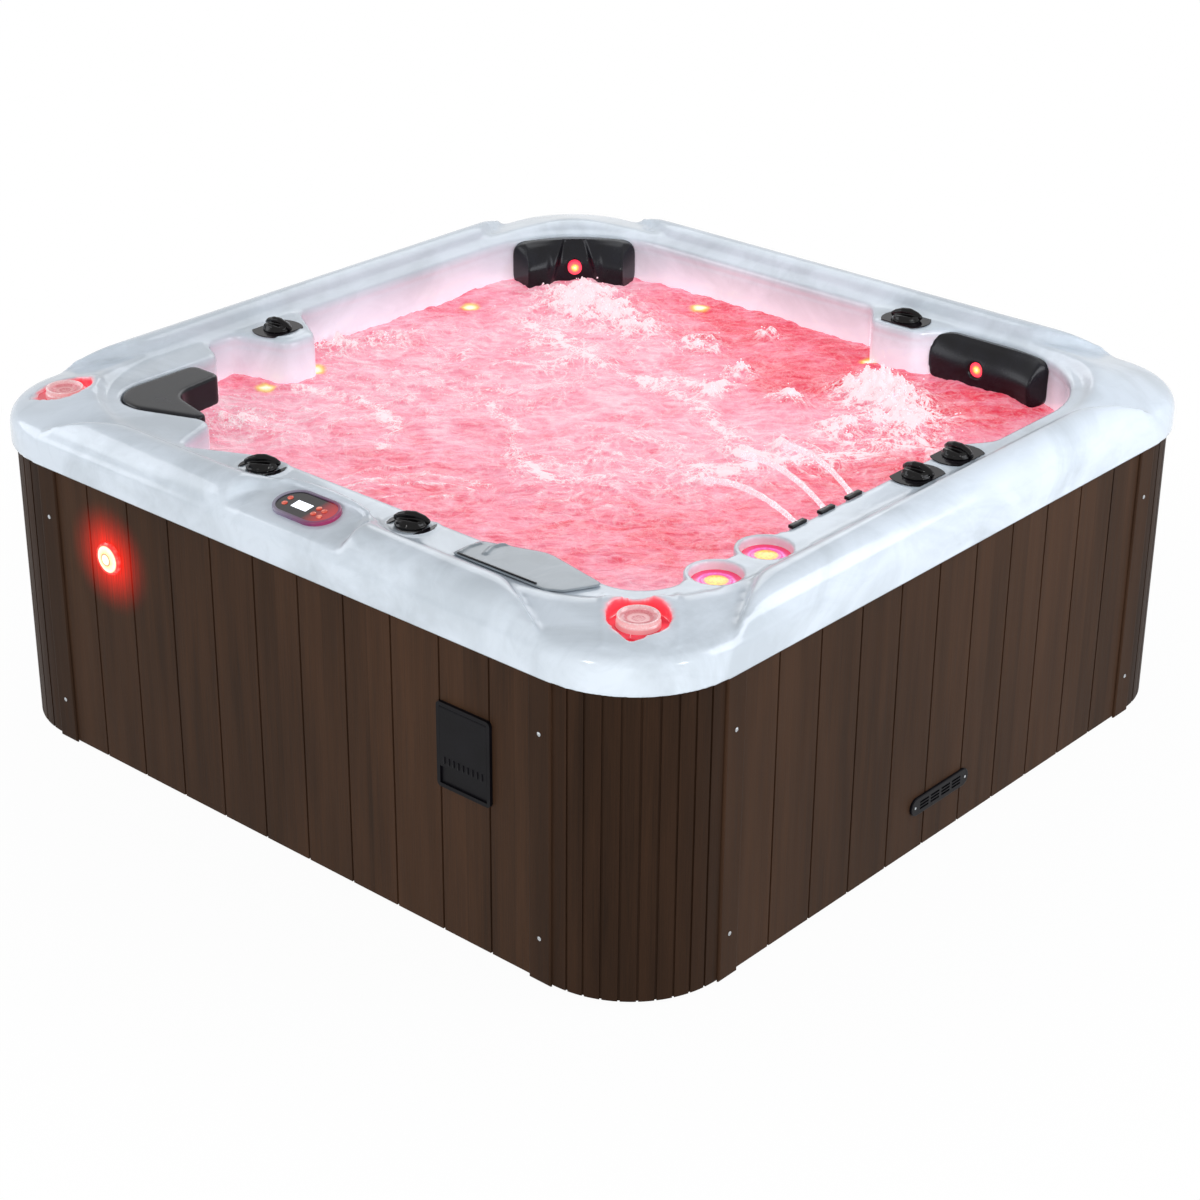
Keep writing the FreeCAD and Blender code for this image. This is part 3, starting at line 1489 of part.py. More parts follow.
# Filter well with its lid, weir flap and cartridge
inset = s.fitClearance
outerWell = rise(rounded(wellCorners(inset), wellFloor), s.wellDepth + s.wellFlangeThickness)
innerWell = rise(rounded(wellCorners(inset + s.wellWall), wellFloor + s.wellWall), s.wellDepth)
wellFlange = rise(rounded(wellCorners(-s.wellWall), s.ledgeTop), s.wellFlangeThickness)
housingShape = outerWell.fuse(wellFlange).cut([
    innerWell,
    mouthCut(-float(s.wellBack + s.wellWall + s.overrun), -float(s.wellBack - s.overrun), 0.0),
])
neckFront = -float(s.wellBack) - float(inset)
neckBack = -float(bulgeFront + s.shellWall)
neckOuter = mouthCut(neckFront, neckBack, float(s.wellWall))
neckInner = mouthCut(neckFront, neckBack, 0.0)
housingShape = housingShape.fuse(neckOuter.cut(neckInner))
feature("filter_housing", housingShape)

flapWidth = s.mouthWidth - 2 * s.buttonGap
flapHeight = s.mouthTop - s.mouthBottom - s.flapClearance - s.flapPinRadius
flap = newBody("weirFlap")
flapSketch = newSketch(flap, "YZ_Plane")
pinRise = s.flapPinRadius
half = s.flapThickness / 2
drawPolygon(flapSketch, [(-half, 0), (half, 0), (half, flapHeight - pinRise), (-half, flapHeight - pinRise)])
pad(flap, flapSketch, flapWidth, midplane=True)
pin = newSketch(flap, "YZ_Plane")
drawCircle(pin, s.flapPinRadius)
pad(flap, pin, flapWidth, midplane=True)
flapY = -float(s.wellBack + inset + s.wellWall / 2)
flapZ = float(s.mouthBottom + s.flapPinRadius + s.buttonGap)
placed("weir_flap", flap, Placement(Vector(float(mouthMiddle), flapY, flapZ), Rotation()))

cartridge = newBody("cartridge")
cartridgeSketch = newSketch(cartridge, "XZ_Plane")
core = s.cartridgeRadius - s.pleatDepth
drawPolygon(cartridgeSketch, [
    (s.cartridgeBore, 0), (s.cartridgeRadius, 0), (s.cartridgeRadius, s.cartridgeCap), (core, s.cartridgeCap),
    (core, s.cartridgeLength - s.cartridgeCap), (s.cartridgeRadius, s.cartridgeLength - s.cartridgeCap),
    (s.cartridgeRadius, s.cartridgeLength), (s.cartridgeBore, s.cartridgeLength),
])
spin(cartridge, cartridgeSketch)
pleat = newSketch(cartridge, "XY_Plane", s.cartridgeCap)
drawRectangle(pleat, s.pleatDepth * 2, s.pleatDepth / 3, core, 0)
pleatPad = pad(cartridge, pleat, s.cartridgeLength - 2 * s.cartridgeCap)
pleats = 24
polar(cartridge, pleatPad, "Z_Axis", 360, pleats)
cartridgeSpot = Vector(float(mouthMiddle), -float(s.wellFront + s.wellBack) / 2, float(wellFloor + s.wellWall))
placed("filter_cartridge", cartridge, Placement(cartridgeSpot, Rotation()))

lidShares = (
    (0.3790, -0.8620, 0.008),
    (0.6240, -0.8620, 0.012),
    (0.6570, -0.8430, 0.020),
    (0.6950, -0.7680, 0.014),
    (0.5200, -0.7340, 0.080),
    (0.3810, -0.7830, 0.016),
)
lidBottom = s.ledgeTop + s.wellFlangeThickness
lidPlate = rise(rounded([share(*corner) for corner in lidShares], lidBottom), s.lidThickness)
skirtOuter = rise(rounded(wellCorners(inset + s.wellWall + s.fitClearance), lidBottom - s.lidSkirt), s.lidSkirt)
skirtInner = rise(rounded(wellCorners(inset + 2 * s.wellWall), lidBottom - s.lidSkirt), s.lidSkirt)
lidEdges = [edge for edge in lidPlate.Edges if atHeight(lidBottom + s.lidThickness)(edge)]
lidShape = lidPlate.makeFillet(float(s.lidThickness) * 0.3, lidEdges).fuse(skirtOuter.cut(skirtInner))
feature("filter_lid", lidShape)

# Head pillows: closed cushions, crowned in front and drawn in at the edges
def pillowSection(reach, depth, low, high):
    """Upright section (distance from the wall's centre, height), crowned towards the bather."""
    edge = float(s.pillowEdge)
    back = reach
    front = reach - depth
    middle = (low + high) / 2
    corners = [
        Vector(back, 0, low + edge / 2), Vector(front + 2 * edge, 0, low), Vector(front + edge / 2, 0, low + edge),
        Vector(front, 0, middle), Vector(front + edge / 2, 0, high - edge), Vector(front + 2 * edge, 0, high),
        Vector(back, 0, high - edge / 2),
    ]
    edges = [
        Part.LineSegment(corners[0], corners[1]).toShape(),
        Part.LineSegment(corners[1], corners[2]).toShape(),
        Part.Arc(corners[2], corners[3], corners[4]).toShape(),
        Part.LineSegment(corners[4], corners[5]).toShape(),
        Part.LineSegment(corners[5], corners[6]).toShape(),
        Part.LineSegment(corners[6], corners[0]).toShape(),
    ]
    return Part.Face(Part.Wire(edges))


def radial(centre, angle, reach, height):
    turn = math.radians(angle)
    return centre + Vector(reach * math.cos(turn), reach * math.sin(turn), height)


def lightHoleAt(spot, inward, radius, depth):
    return tube(radius, depth + float(s.overrun), spot - inward * float(s.overrun), inward)


pillowHigh = float(s.pillowTop)
upAxis = Vector(0, 0, 1)
farCentre = Vector(-float(s.basinLeft - s.farSeatRadius), float(s.basinBack - s.farSeatRadius), 0)
farReach = float(s.farSeatRadius - s.pillowGap)
farLow = float(s.farPillowBottom)
farSection = pillowSection(farReach, float(s.farPillowDepth), farLow, pillowHigh)
farAngle = float(s.farPillowAngle)
farSection.rotate(Vector(), upAxis, 135 - farAngle / 2)
farShape = farSection.revolve(Vector(), upAxis, farAngle)
farFront = farReach - float(s.farPillowDepth)
channelOffsetShare = 0.24
farCutters = []
for sign in (-1, 1):
    angle = 135 + sign * farAngle * channelOffsetShare
    spot = radial(Vector(), angle, farFront - float(s.channelRadius) / 3, farLow - float(s.overrun))
    farCutters.append(tube(s.channelRadius, pillowHigh - farLow + 2 * float(s.overrun), spot, upAxis))
lensHeight = (farLow + pillowHigh) / 2
lightRadius = float(s.pillowLightRadius)
lightDepth = float(s.pillowLightDepth)
slack = float(s.pillowGap)


def towards(angle):
    turn = math.radians(angle)
    return Vector(math.cos(turn), math.sin(turn), 0)


farFace = radial(Vector(), 135, farFront, lensHeight)
farCutters.append(lightHoleAt(farFace, towards(135), lightRadius + slack, lightDepth + slack))
farShape = farShape.cut(farCutters)
farShape.translate(farCentre)
feature("pillow_far", farShape)

headCentre = Vector(float(s.headRight - s.headRadius), float(s.basinBack - s.headRadius), 0)
headReach = float(s.headRadius - s.pillowGap)
headLow = float(s.headPillowBottom)
headSection = pillowSection(headReach, float(s.headPillowDepth), headLow, pillowHigh)
headSection.rotate(Vector(), upAxis, 90)
headRun = headCentre.x - float(s.headPillowLeft)
headCurve = headSection.revolve(Vector(), upAxis, -float(s.headPillowTurn))
headShape = headSection.extrude(Vector(-headRun, 0, 0)).fuse(headCurve)
headFront = headReach - float(s.headPillowDepth)
headLightShare = 0.27
headFace = Vector(-headRun * headLightShare, headFront, (headLow + pillowHigh) / 2)
headShape = headShape.cut(lightHoleAt(headFace, Vector(0, 1, 0), lightRadius + slack, lightDepth + slack))
headShape.translate(headCentre)
wallOutline = rounded(grown(openingCorners(), -slack), headLow - float(s.overrun))
headShape = headShape.common(rise(wallOutline, pillowHigh - headLow + 2 * float(s.overrun)))
feature("pillow_head", headShape)

# The left pillow wraps the corner notch between the two armrest tongues
leftPillowShares = (
    (-0.6800, -0.5250, 0.020),
    (-0.6650, -0.6700, 0.060),
    (-0.5240, -0.7020, 0.010),
    (-0.5240, -0.7264, 0.009),
)
notch = share(*notchShares)
tongue = share(*frontTongueShares[0])
leftLow = float(s.leftPillowBottom)
gapAside = float(s.pillowGap)
run = Vector(tongue[0] - notch[0], tongue[1] - notch[1], 0).normalize()
inwardSide = Vector(-run.y, run.x, 0)
notchCorner = Vector(notch[0] + gapAside, 0, 0)
alongWall = (notchCorner.x - notch[0] - inwardSide.x * gapAside) / run.x
notchCorner.y = notch[1] + inwardSide.y * gapAside + run.y * alongWall
endShare = leftPillowShares[3]
frontEndX = share(endShare[0])[0]
frontEnd = Vector(frontEndX, notchCorner.y + run.y / run.x * (frontEndX - notchCorner.x), 0)
pillowCorners = [
    (notchCorner.x, notchCorner.y, notch[2] - gapAside),
    (frontEnd.x, frontEnd.y, share(endShare[2])[0]),
]
pillowCorners += [share(*corner) for corner in leftPillowShares[2::-1]]
pillowCorners.append((notchCorner.x, share(leftPillowShares[0][1])[0], share(leftPillowShares[0][2])[0]))
leftShape = rise(rounded(pillowCorners, leftLow), pillowHigh - leftLow)
leftEdges = [edge for edge in leftShape.Edges if atHeight(pillowHigh)(edge)]
feature("pillow_left", leftShape.makeChamfer(float(s.pillowEdge) / 3, leftEdges))

pillowLights = []
for centre, face, way in ((farCentre, farFace, towards(135)), (headCentre, headFace, Vector(0, 1, 0))):
    back = centre + face + way * lightDepth
    pillowLights.append(tube(lightRadius, lightDepth, back, way * -1))
group("pillow_lights", pillowLights)

# Wall lights and jets
pointLight = newBody("pointLight")
pointSketch = newSketch(pointLight, "XZ_Plane")
drawPolygon(pointSketch, [
    (0, -s.shellWall * 2), (s.pointLightShank, -s.shellWall * 2), (s.pointLightShank, 0), (s.pointLightRadius, 0),
    (s.pointLightRadius, s.pointLightProud / 2), (s.pointLightRadius * 0.7, s.pointLightProud),
    (0, s.pointLightProud),
])
spin(pointLight, pointSketch)

jet = newBody("jet")
jetSketch = newSketch(jet, "XZ_Plane")
drawPolygon(jetSketch, [
    (s.jetNozzleRadius, -s.jetBodyDepth), (s.jetBodyRadius, -s.jetBodyDepth), (s.jetBodyRadius, 0),
    (s.jetRadius, 0), (s.jetRadius, s.jetProud / 2), (s.jetRadius * 0.85, s.jetProud),
    (s.jetEyeRadius, s.jetProud / 2), (s.jetNozzleRadius, s.jetProud / 2 - s.jetProud),
])
spin(jet, jetSketch)

suction = newBody("suction")
suctionSketch = newSketch(suction, "XZ_Plane")
drawPolygon(suctionSketch, [
    (0, 0), (s.suctionRadius, 0), (s.suctionRadius, s.suctionProud / 3),
    (s.suctionRadius * 0.7, s.suctionProud), (0, s.suctionProud),
])
spin(suction, suctionSketch)
document.recompute()
pointLights = [onWall(pointLight.Shape, *spot) for spot in pointLightShares]
flankLight = pointLight.Shape.copy()
flankLight.Placement = flankPlacement()
pointLights.append(flankLight)
group("point_lights", pointLights)
group("jets", [onWall(jet.Shape, *spot) for spot in jetShares])

covers = []
suctionShare = 0.38
for sign in (-suctionShare, suctionShare):
    cover = suction.Shape.copy()
    along = float(s.footwellLeft + s.footwellRight) / 2 * sign
    base = Vector(along, -float(s.footwellFront), float(s.suctionHeight))
    cover.Placement = Placement(base, Rotation(Vector(1, 0, 0), -90))
    covers.append(cover)
drain = suction.Shape.copy()
drain.translate(Vector(0, float(s.footwellBack) / 2, float(s.footwellTop)))
covers.append(drain)
group("suction_covers", covers)

# Breaker box in the front panel
box = newBody("breakerBox")
flangeSketch = newSketch(box)
drawRoundedRectangle(flangeSketch, s.breakerWidth, s.breakerHeight, s.breakerCorner)
pad(box, flangeSketch, s.breakerFlangeThickness)
caseSketch = newSketch(box)
openWidth = s.breakerWidth - 2 * s.breakerFlange
openHeight = s.breakerHeight - 2 * s.breakerFlange
drawRectangle(caseSketch, openWidth + 2 * s.breakerWall, openHeight + 2 * s.breakerWall)
pad(box, caseSketch, s.breakerDepth, backward=True)
recessSketch = newSketch(box, "XY_Plane", s.breakerFlangeThickness)
drawRectangle(recessSketch, openWidth, openHeight)
pocket(box, recessSketch, s.coverThickness + s.coverGap)
cavitySketch = newSketch(box, "XY_Plane", s.breakerFlangeThickness)
cavityHeight = openHeight - s.coverBottomGap
cavityMiddle = s.coverBottomGap / 2
drawRectangle(cavitySketch, openWidth, cavityHeight, 0, cavityMiddle)
pocket(box, cavitySketch, s.breakerFlangeThickness + s.breakerDepth - s.breakerWall)
breakerPlacement = sidePlacement(0, s.breakerX, s.breakerZ)
placed("breaker_box", box, breakerPlacement)

hingeY = openHeight / 2 - s.hingeRadius - s.coverGap
hingeDepth = s.breakerFlangeThickness - s.coverThickness
cover = newBody("breakerCover")
coverSketch = newSketch(cover, "XY_Plane")
coverHeight = cavityHeight - s.hingeRadius - 2 * s.coverGap
drawRectangle(coverSketch, openWidth - 2 * s.coverGap, coverHeight, 0, -coverHeight / 2)
pad(cover, coverSketch, s.coverThickness)
barrelSketch = newSketch(cover, "YZ_Plane")
drawCircle(barrelSketch, s.hingeRadius)
pad(cover, barrelSketch, openWidth - 2 * s.coverGap, midplane=True)
coverShift = Placement(Vector(0, float(hingeY), float(hingeDepth)), Rotation())
placed("breaker_cover", cover, breakerPlacement.multiply(coverShift))

module = newBody("breakerModule")
moduleSketch = newSketch(module)
drawRectangle(moduleSketch, s.moduleWidth, s.moduleHeight)
pad(module, moduleSketch, s.moduleDepth)
slotSketch = newSketch(module, "XY_Plane", s.moduleDepth)
slotDepth = s.toggleHubRadius * 2 + s.coverGap
drawRectangle(slotSketch, s.toggleWidth + 2 * s.coverGap, 2 * (s.toggleHubRadius + s.coverGap))
pocket(module, slotSketch, slotDepth)
moduleBase = s.breakerWall - s.breakerDepth
moduleShift = Placement(Vector(0, float(cavityMiddle), float(moduleBase)), Rotation())
placed("breaker_module", module, breakerPlacement.multiply(moduleShift))

toggle = newBody("breakerToggle")
hubSketch = newSketch(toggle, "YZ_Plane")
drawCircle(hubSketch, s.toggleHubRadius)
pad(toggle, hubSketch, s.toggleWidth, midplane=True)
leverSketch = newSketch(toggle, "YZ_Plane")
lever = s.toggleHubRadius / 2
drawPolygon(leverSketch, [
    (-lever, 0), (lever, 0), (lever * 0.6, s.toggleLength), (-lever * 0.6, s.toggleLength),
])
pad(toggle, leverSketch, s.toggleWidth, midplane=True)
hubDepth = moduleBase + s.moduleDepth - s.toggleHubRadius
toggleShift = Placement(Vector(0, float(cavityMiddle), float(hubDepth)), Rotation(Vector(1, 0, 0), float(s.toggleLean)))
placed("breaker_toggle", toggle, breakerPlacement.multiply(toggleShift))

# Vent grille in the right panel
grille = newBody("ventGrille")
grilleSketch = newSketch(grille)
drawStadium(grilleSketch, s.ventLength, s.ventHeight)
pad(grille, grilleSketch, s.ventProud)
collarSketch = newSketch(grille)
ventInset = s.ventProud * 2
drawStadium(collarSketch, s.ventLength - ventInset, s.ventHeight - ventInset)
pad(grille, collarSketch, s.ventDepth, backward=True)
roundEdges(grille, atHeight(s.ventProud), s.ventProud / 3)
ventSlots = newSketch(grille, "XY_Plane", s.ventProud)
for row in (-1, 0, 1):
    drawRectangle(ventSlots, s.ventSlotLength, s.ventSlotHeight, -1.5 * s.ventGroupPitch, row * s.ventSlotPitch)
ventPocket = pocket(grille, ventSlots, s.ventProud + s.ventDepth + s.overrun)
linear(grille, ventPocket, "X_Axis", s.ventGroupPitch * 3, 4)
placed("vent_grille", grille, sidePlacement(1, s.ventY, s.ventZ))

# Light in the front panel
beacon = newBody("beacon")
beaconSketch = newSketch(beacon, "XZ_Plane")
beaconInner = s.beaconRadius - s.beaconRim
beaconFloor = s.beaconProud / 2
drawPolygon(beaconSketch, [
    (0, -s.beaconDepth), (s.beaconHole, -s.beaconDepth), (s.beaconHole, 0), (s.beaconRadius, 0),
    (s.beaconRadius, beaconFloor), (s.beaconRadius - s.beaconRim / 2, s.beaconProud),
    (beaconInner, s.beaconProud), (beaconInner, beaconFloor), (0, beaconFloor),
])
spin(beacon, beaconSketch)
placed("cabinet_light", beacon, sidePlacement(0, s.beaconX, s.beaconZ))
lensBody = newBody("beaconLens")
beaconLensSketch = newSketch(lensBody, "XZ_Plane")
glassRadius = beaconInner - s.coverGap
drawPolygon(beaconLensSketch, [
    (0, beaconFloor), (glassRadius, beaconFloor), (glassRadius, s.beaconProud - s.coverGap),
    (glassRadius * 0.6, s.beaconProud + s.lensDome * 0.7), (0, s.beaconProud + s.lensDome),
])
spin(lensBody, beaconLensSketch)
placed("cabinet_light_lens", lensBody, sidePlacement(0, s.beaconX, s.beaconZ))

# Equipment under the seats
pump = newBody("pump")
pumpSketch = newSketch(pump, "XZ_Plane")
headLength = s.pumpHeadLength
drawPolygon(pumpSketch, [
    (0, 0), (s.pipeRadius * 1.3, 0), (s.pipeRadius * 1.3, headLength * 0.2), (s.pumpHeadRadius, headLength * 0.3),
    (s.pumpHeadRadius, headLength * 0.9), (s.pumpRadius * 0.9, headLength), (s.pumpRadius * 0.9, headLength * 1.1),
    (s.pumpRadius, headLength * 1.1), (s.pumpRadius, headLength + s.pumpLength),
    (0, headLength + s.pumpLength),
])
spin(pump, pumpSketch)
foot = newSketch(pump, "XY_Plane", headLength * 1.2)
footHeight = s.pumpAxisHeight - s.panThickness
drawRectangle(foot, s.pumpFootWidth, footHeight, 0, -footHeight / 2)
pad(pump, foot, s.pumpLength * 0.7)
outletSketch = newSketch(pump, "XZ_Plane")
outletAlong = headLength * 0.6
drawCircle(outletSketch, s.pipeRadius * 1.2, 0, outletAlong)
pad(pump, outletSketch, s.pumpHeadRadius + s.pipeRadius / 2, backward=True)
document.recompute()

# Pipe routes
pumpInlet = s.pumpHeadRadius + s.pumpRadius + 2 * s.pipeRadius
pumps = []
for sign in (-1, 1):
    lying = Rotation(Vector(0, sign, 0), Vector(0, 0, 1), Vector(sign, 0, 0), "ZYX")
    copy = pump.Shape.copy()
    copy.Placement = Placement(Vector(sign * float(pumpInlet), float(s.pumpY), float(s.pumpAxisHeight)), lying)
    pumps.append(copy)
group("pumps", pumps)

controlBox = newBody("controlBox")
controlSketch = newSketch(controlBox)
drawRoundedRectangle(controlSketch, s.controlWidth, s.controlDepth, s.controlEdge)
pad(controlBox, controlSketch, s.controlHeight)
controlBack = panHalf - s.railWidth - s.controlEdge
controlY = controlBack - s.controlDepth / 2
placed("control_box", controlBox, Placement(Vector(float(s.controlX), -float(controlY), float(s.panThickness)), Rotation()))

heater = newBody("heater")
heaterSketch = newSketch(heater, "XZ_Plane")
collar = s.pipeRadius
drawPolygon(heaterSketch, [
    (s.pipeRadius, 0), (s.heaterCollarRadius, 0), (s.heaterCollarRadius, collar), (s.heaterRadius, collar),
    (s.heaterRadius, s.heaterLength - collar), (s.heaterCollarRadius, s.heaterLength - collar),
    (s.heaterCollarRadius, s.heaterLength), (s.pipeRadius, s.heaterLength),
])
spin(heater, heaterSketch)
heaterY = -float(controlY - s.controlDepth / 2 - s.heaterCollarRadius)
heaterZ = float(s.panThickness + s.controlHeight / 2)
heaterRight = float(s.controlX + s.heaterLength / 2)
heaterLeft = float(s.controlX - s.heaterLength / 2)
alongX = Rotation(Vector(0, 1, 0), 90)
placed("heater", heater, Placement(Vector(heaterLeft, heaterY, heaterZ), alongX))


def pipe(points, radius):
    """Pipe of one bore through the points, with mitred bends."""
    path = Part.makePolygon(points)
    start = points[0]
    direction = (points[1] - points[0]).normalize()
    ring = Part.Wire(Part.makeCircle(float(radius), start, direction))
    return path.makePipeShell([ring], True, False, 1)


def hollowPipe(points, radius):
    solid = pipe(points, radius)
    ends = [points[0] - (points[1] - points[0]).normalize() * float(s.overrun)]
    ends += points[1:-1]
    ends.append(points[-1] + (points[-1] - points[-2]).normalize() * float(s.overrun))
    return solid, pipe(ends, radius - s.pipeWall)


pumpY = float(s.pumpY)
axisZ = float(s.pumpAxisHeight)
suctionX = float(s.footwellLeft + s.footwellRight) / 2 * suctionShare
suctionZ = float(s.suctionHeight)
wellOuter = -float(s.footwellFront + s.shellWall)
turnY = (wellOuter + pumpY) / 2
upper = float(s.seatTop - s.shellWall - s.pipeRadius * 1.2)
outletX = float(pumpInlet + outletAlong)
outletZ = float(s.pumpAxisHeight + s.pumpHeadRadius + s.pipeRadius / 2)
crossX = float(pumpInlet) - 4 * float(s.pipeRadius)
branchX = suctionX + 2 * float(s.pipeRadius)
filterX = float(mouthMiddle)
filterY = cartridgeSpot.y
leftManifold = -float(s.basinLeft) + 4 * float(s.pipeRadius)
backManifold = float(s.basinBack) - 8 * float(s.pipeRadius)
rightManifold = float(s.basinRight) - float(s.pipeRadius)
lowRun = float(s.seatTop) - 4.4 * float(s.pipeRadius)
sideY = pumpY - float(s.pumpHeadRadius + s.pipeRadius)
routes = [
    [Vector(-suctionX, wellOuter, suctionZ), Vector(-suctionX, turnY, suctionZ), Vector(-suctionX, pumpY, axisZ),
     Vector(-float(pumpInlet), pumpY, axisZ)],
    [Vector(suctionX, wellOuter, suctionZ), Vector(suctionX, turnY, suctionZ), Vector(suctionX, pumpY, axisZ),
     Vector(float(pumpInlet), pumpY, axisZ)],
    [Vector(-outletX, pumpY, outletZ), Vector(-outletX, pumpY, upper), Vector(-crossX, pumpY, upper),
     Vector(-crossX, heaterY, upper), Vector(-crossX, heaterY, heaterZ), Vector(heaterRight, heaterY, heaterZ)],
    [Vector(heaterLeft, heaterY, heaterZ), Vector(heaterLeft * 1.2, heaterY, heaterZ),
     Vector(heaterLeft * 1.2, heaterY, lowRun), Vector(leftManifold, heaterY, lowRun),
     Vector(leftManifold, backManifold, lowRun), Vector(suctionX, backManifold, lowRun)],
    [Vector(outletX, pumpY, outletZ), Vector(outletX, pumpY, upper), Vector(outletX, sideY, upper),
     Vector(outletX, sideY, lowRun), Vector(rightManifold, sideY, lowRun), Vector(rightManifold, backManifold, lowRun)],
]
branch = [
    Vector(filterX, filterY, float(wellFloor)), Vector(filterX, filterY, axisZ), Vector(branchX, filterY, axisZ),
    Vector(branchX, pumpY, axisZ),
]
pairs = [hollowPipe(route, s.pipeRadius) for route in routes]
branchSolid, branchBore = hollowPipe(branch, s.branchRadius)
pipes = [solid.cut(bore) for solid, bore in pairs]
main, mainBore = pairs[1]
pipes[1] = main.fuse(branchSolid).cut([mainBore, branchBore])
group("plumbing", pipes)

# Checks and export
document.recompute()
for thing in document.Objects:
    if "Invalid" in thing.State or "Error" in thing.State:
        raise RuntimeError(thing.Label + " did not recompute")
for node in nodes:
    if node.Shape.isNull() or not node.Shape.isValid():
        raise RuntimeError(node.Label + " has no valid shape")
os.makedirs("parts", exist_ok=True)
for node in nodes:
    node.Shape.exportStep("parts/" + node.Label + ".step")
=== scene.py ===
import json
import math
import random

import bmesh
import bpy
from mathutils import Matrix, Vector, noise
from mathutils.bvhtree import BVHTree

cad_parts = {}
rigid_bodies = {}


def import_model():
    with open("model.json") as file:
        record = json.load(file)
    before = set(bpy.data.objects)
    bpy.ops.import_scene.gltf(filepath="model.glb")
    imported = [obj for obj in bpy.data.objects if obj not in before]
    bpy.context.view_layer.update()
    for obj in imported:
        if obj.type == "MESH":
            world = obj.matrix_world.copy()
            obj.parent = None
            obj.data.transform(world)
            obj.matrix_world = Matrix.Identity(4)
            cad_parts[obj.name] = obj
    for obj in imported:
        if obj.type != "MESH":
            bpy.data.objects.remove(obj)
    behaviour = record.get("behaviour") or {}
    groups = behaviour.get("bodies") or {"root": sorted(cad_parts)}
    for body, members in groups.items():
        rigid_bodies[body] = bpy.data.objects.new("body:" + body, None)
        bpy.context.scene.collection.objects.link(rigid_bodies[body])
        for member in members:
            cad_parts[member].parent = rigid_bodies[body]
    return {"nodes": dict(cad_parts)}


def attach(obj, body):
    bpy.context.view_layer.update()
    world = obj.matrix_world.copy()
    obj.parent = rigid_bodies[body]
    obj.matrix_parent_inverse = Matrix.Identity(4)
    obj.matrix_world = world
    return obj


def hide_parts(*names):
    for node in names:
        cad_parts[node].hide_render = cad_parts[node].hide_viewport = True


for leftover in list(bpy.data.objects):
    bpy.data.objects.remove(leftover)
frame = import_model()
nodes = frame["nodes"]
scene = bpy.context.scene
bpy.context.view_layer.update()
seed = 7
chance = random.Random(seed)
noise.seed_set(seed)


# Small tools for shapes

def mergedCopy(node):
    work = bmesh.new()
    work.from_mesh(nodes[node].data)
    bmesh.ops.remove_doubles(work, verts=work.verts, dist=1e-5)
    return work


def asObject(work, name):
    mesh = bpy.data.meshes.new(name)
    work.to_mesh(mesh)
    work.free()
    piece = bpy.data.objects.new(name, mesh)
    scene.collection.objects.link(piece)
    return piece


def evenCopy(work, voxel, rubs):
    # the shape as small even squares, rubbed smooth, as a mould leaves it
    piece = asObject(work, "work")
    even = piece.modifiers.new("even", "REMESH")
    even.mode = "VOXEL"
    even.voxel_size = voxel
    rub = piece.modifiers.new("rub", "SMOOTH")
    rub.factor = 0.5
    rub.iterations = rubs
    bpy.context.view_layer.update()
    graph = bpy.context.evaluated_depsgraph_get()
    mesh = bpy.data.meshes.new_from_object(piece.evaluated_get(graph))
    result = bmesh.new()
    result.from_mesh(mesh)
    bpy.data.objects.remove(piece)
    return result


def rubSmooth(work, verts, turns):
    for turn in range(turns):
        bmesh.ops.smooth_vert(work, verts=verts, factor=0.5, use_axis_x=True, use_axis_y=True,
                              use_axis_z=True)


def turnedForm(profile, steps):
    # a closed body turned from half its outline, given as radius and height
    work = bmesh.new()
    line = [work.verts.new((r, 0, z)) for r, z in profile]
    edges = [work.edges.new(pair) for pair in zip(line, line[1:])]
    bmesh.ops.spin(work, geom=line + edges, cent=(0, 0, 0), axis=(0, 0, 1), angle=2 * math.pi, steps=steps,
                   use_merge=True)
    bmesh.ops.remove_doubles(work, verts=work.verts, dist=1e-6)
    bmesh.ops.edgeloop_fill(work, edges=[e for e in work.edges if e.is_boundary])
    bmesh.ops.recalc_face_normals(work, faces=work.faces)
    return work


def addBar(work, place, size):
    bmesh.ops.create_cube(work, size=1.0, matrix=place @ Matrix.Diagonal(size + (1.0,)))


def roundEdges(work, radius, segments):
    bmesh.ops.bevel(work, geom=work.edges[:], offset=radius, segments=segments, profile=0.5, affect="EDGES",
                    material=-1)


def cutFlat(work, place, way, **cleared):
    everything = work.verts[:] + work.edges[:] + work.faces[:]
    bmesh.ops.bisect_plane(work, geom=everything, plane_co=place, plane_no=way, **cleared)


def finish(work, name, material, body="tub", replaced=(), sharpAngle=None):
    piece = asObject(work, name)
    piece.data.materials.clear()
    piece.data.materials.append(material)
    piece.data.polygons.foreach_set("material_index", [0] * len(piece.data.polygons))
    piece.data.shade_smooth()
    if sharpAngle:
        piece.data.set_sharp_from_angle(angle=math.radians(sharpAngle))
    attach(piece, body)
    if replaced:
        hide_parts(*replaced)
    print("made", name, len(piece.data.polygons), "faces")
    return piece


def clamp(value):
    return max(0.0, min(1.0, value))


def hump(off):
    # one in the middle, fading like a bell to nothing two widths away
    return math.exp(-off * off)


def flatGap(spot, place):
    return math.hypot(spot.x - place[0], spot.y - place[1])


def spots(x, y, places):
    # soft round spots added up, each a centre, a reach and a strength
    return sum(s * math.exp(-((x - cx) ** 2 + (y - cy) ** 2) / r ** 2) for cx, cy, r, s in places)


def lineDistance(x, y, points):
    best = 9.0
    for (ax, ay), (bx, by) in zip(points, points[1:]):
        dx, dy = bx - ax, by - ay
        along = clamp(((x - ax) * dx + (y - ay) * dy) / (dx * dx + dy * dy))
        best = min(best, math.hypot(x - ax - along * dx, y - ay - along * dy))
    return best


# Small tools for finishes

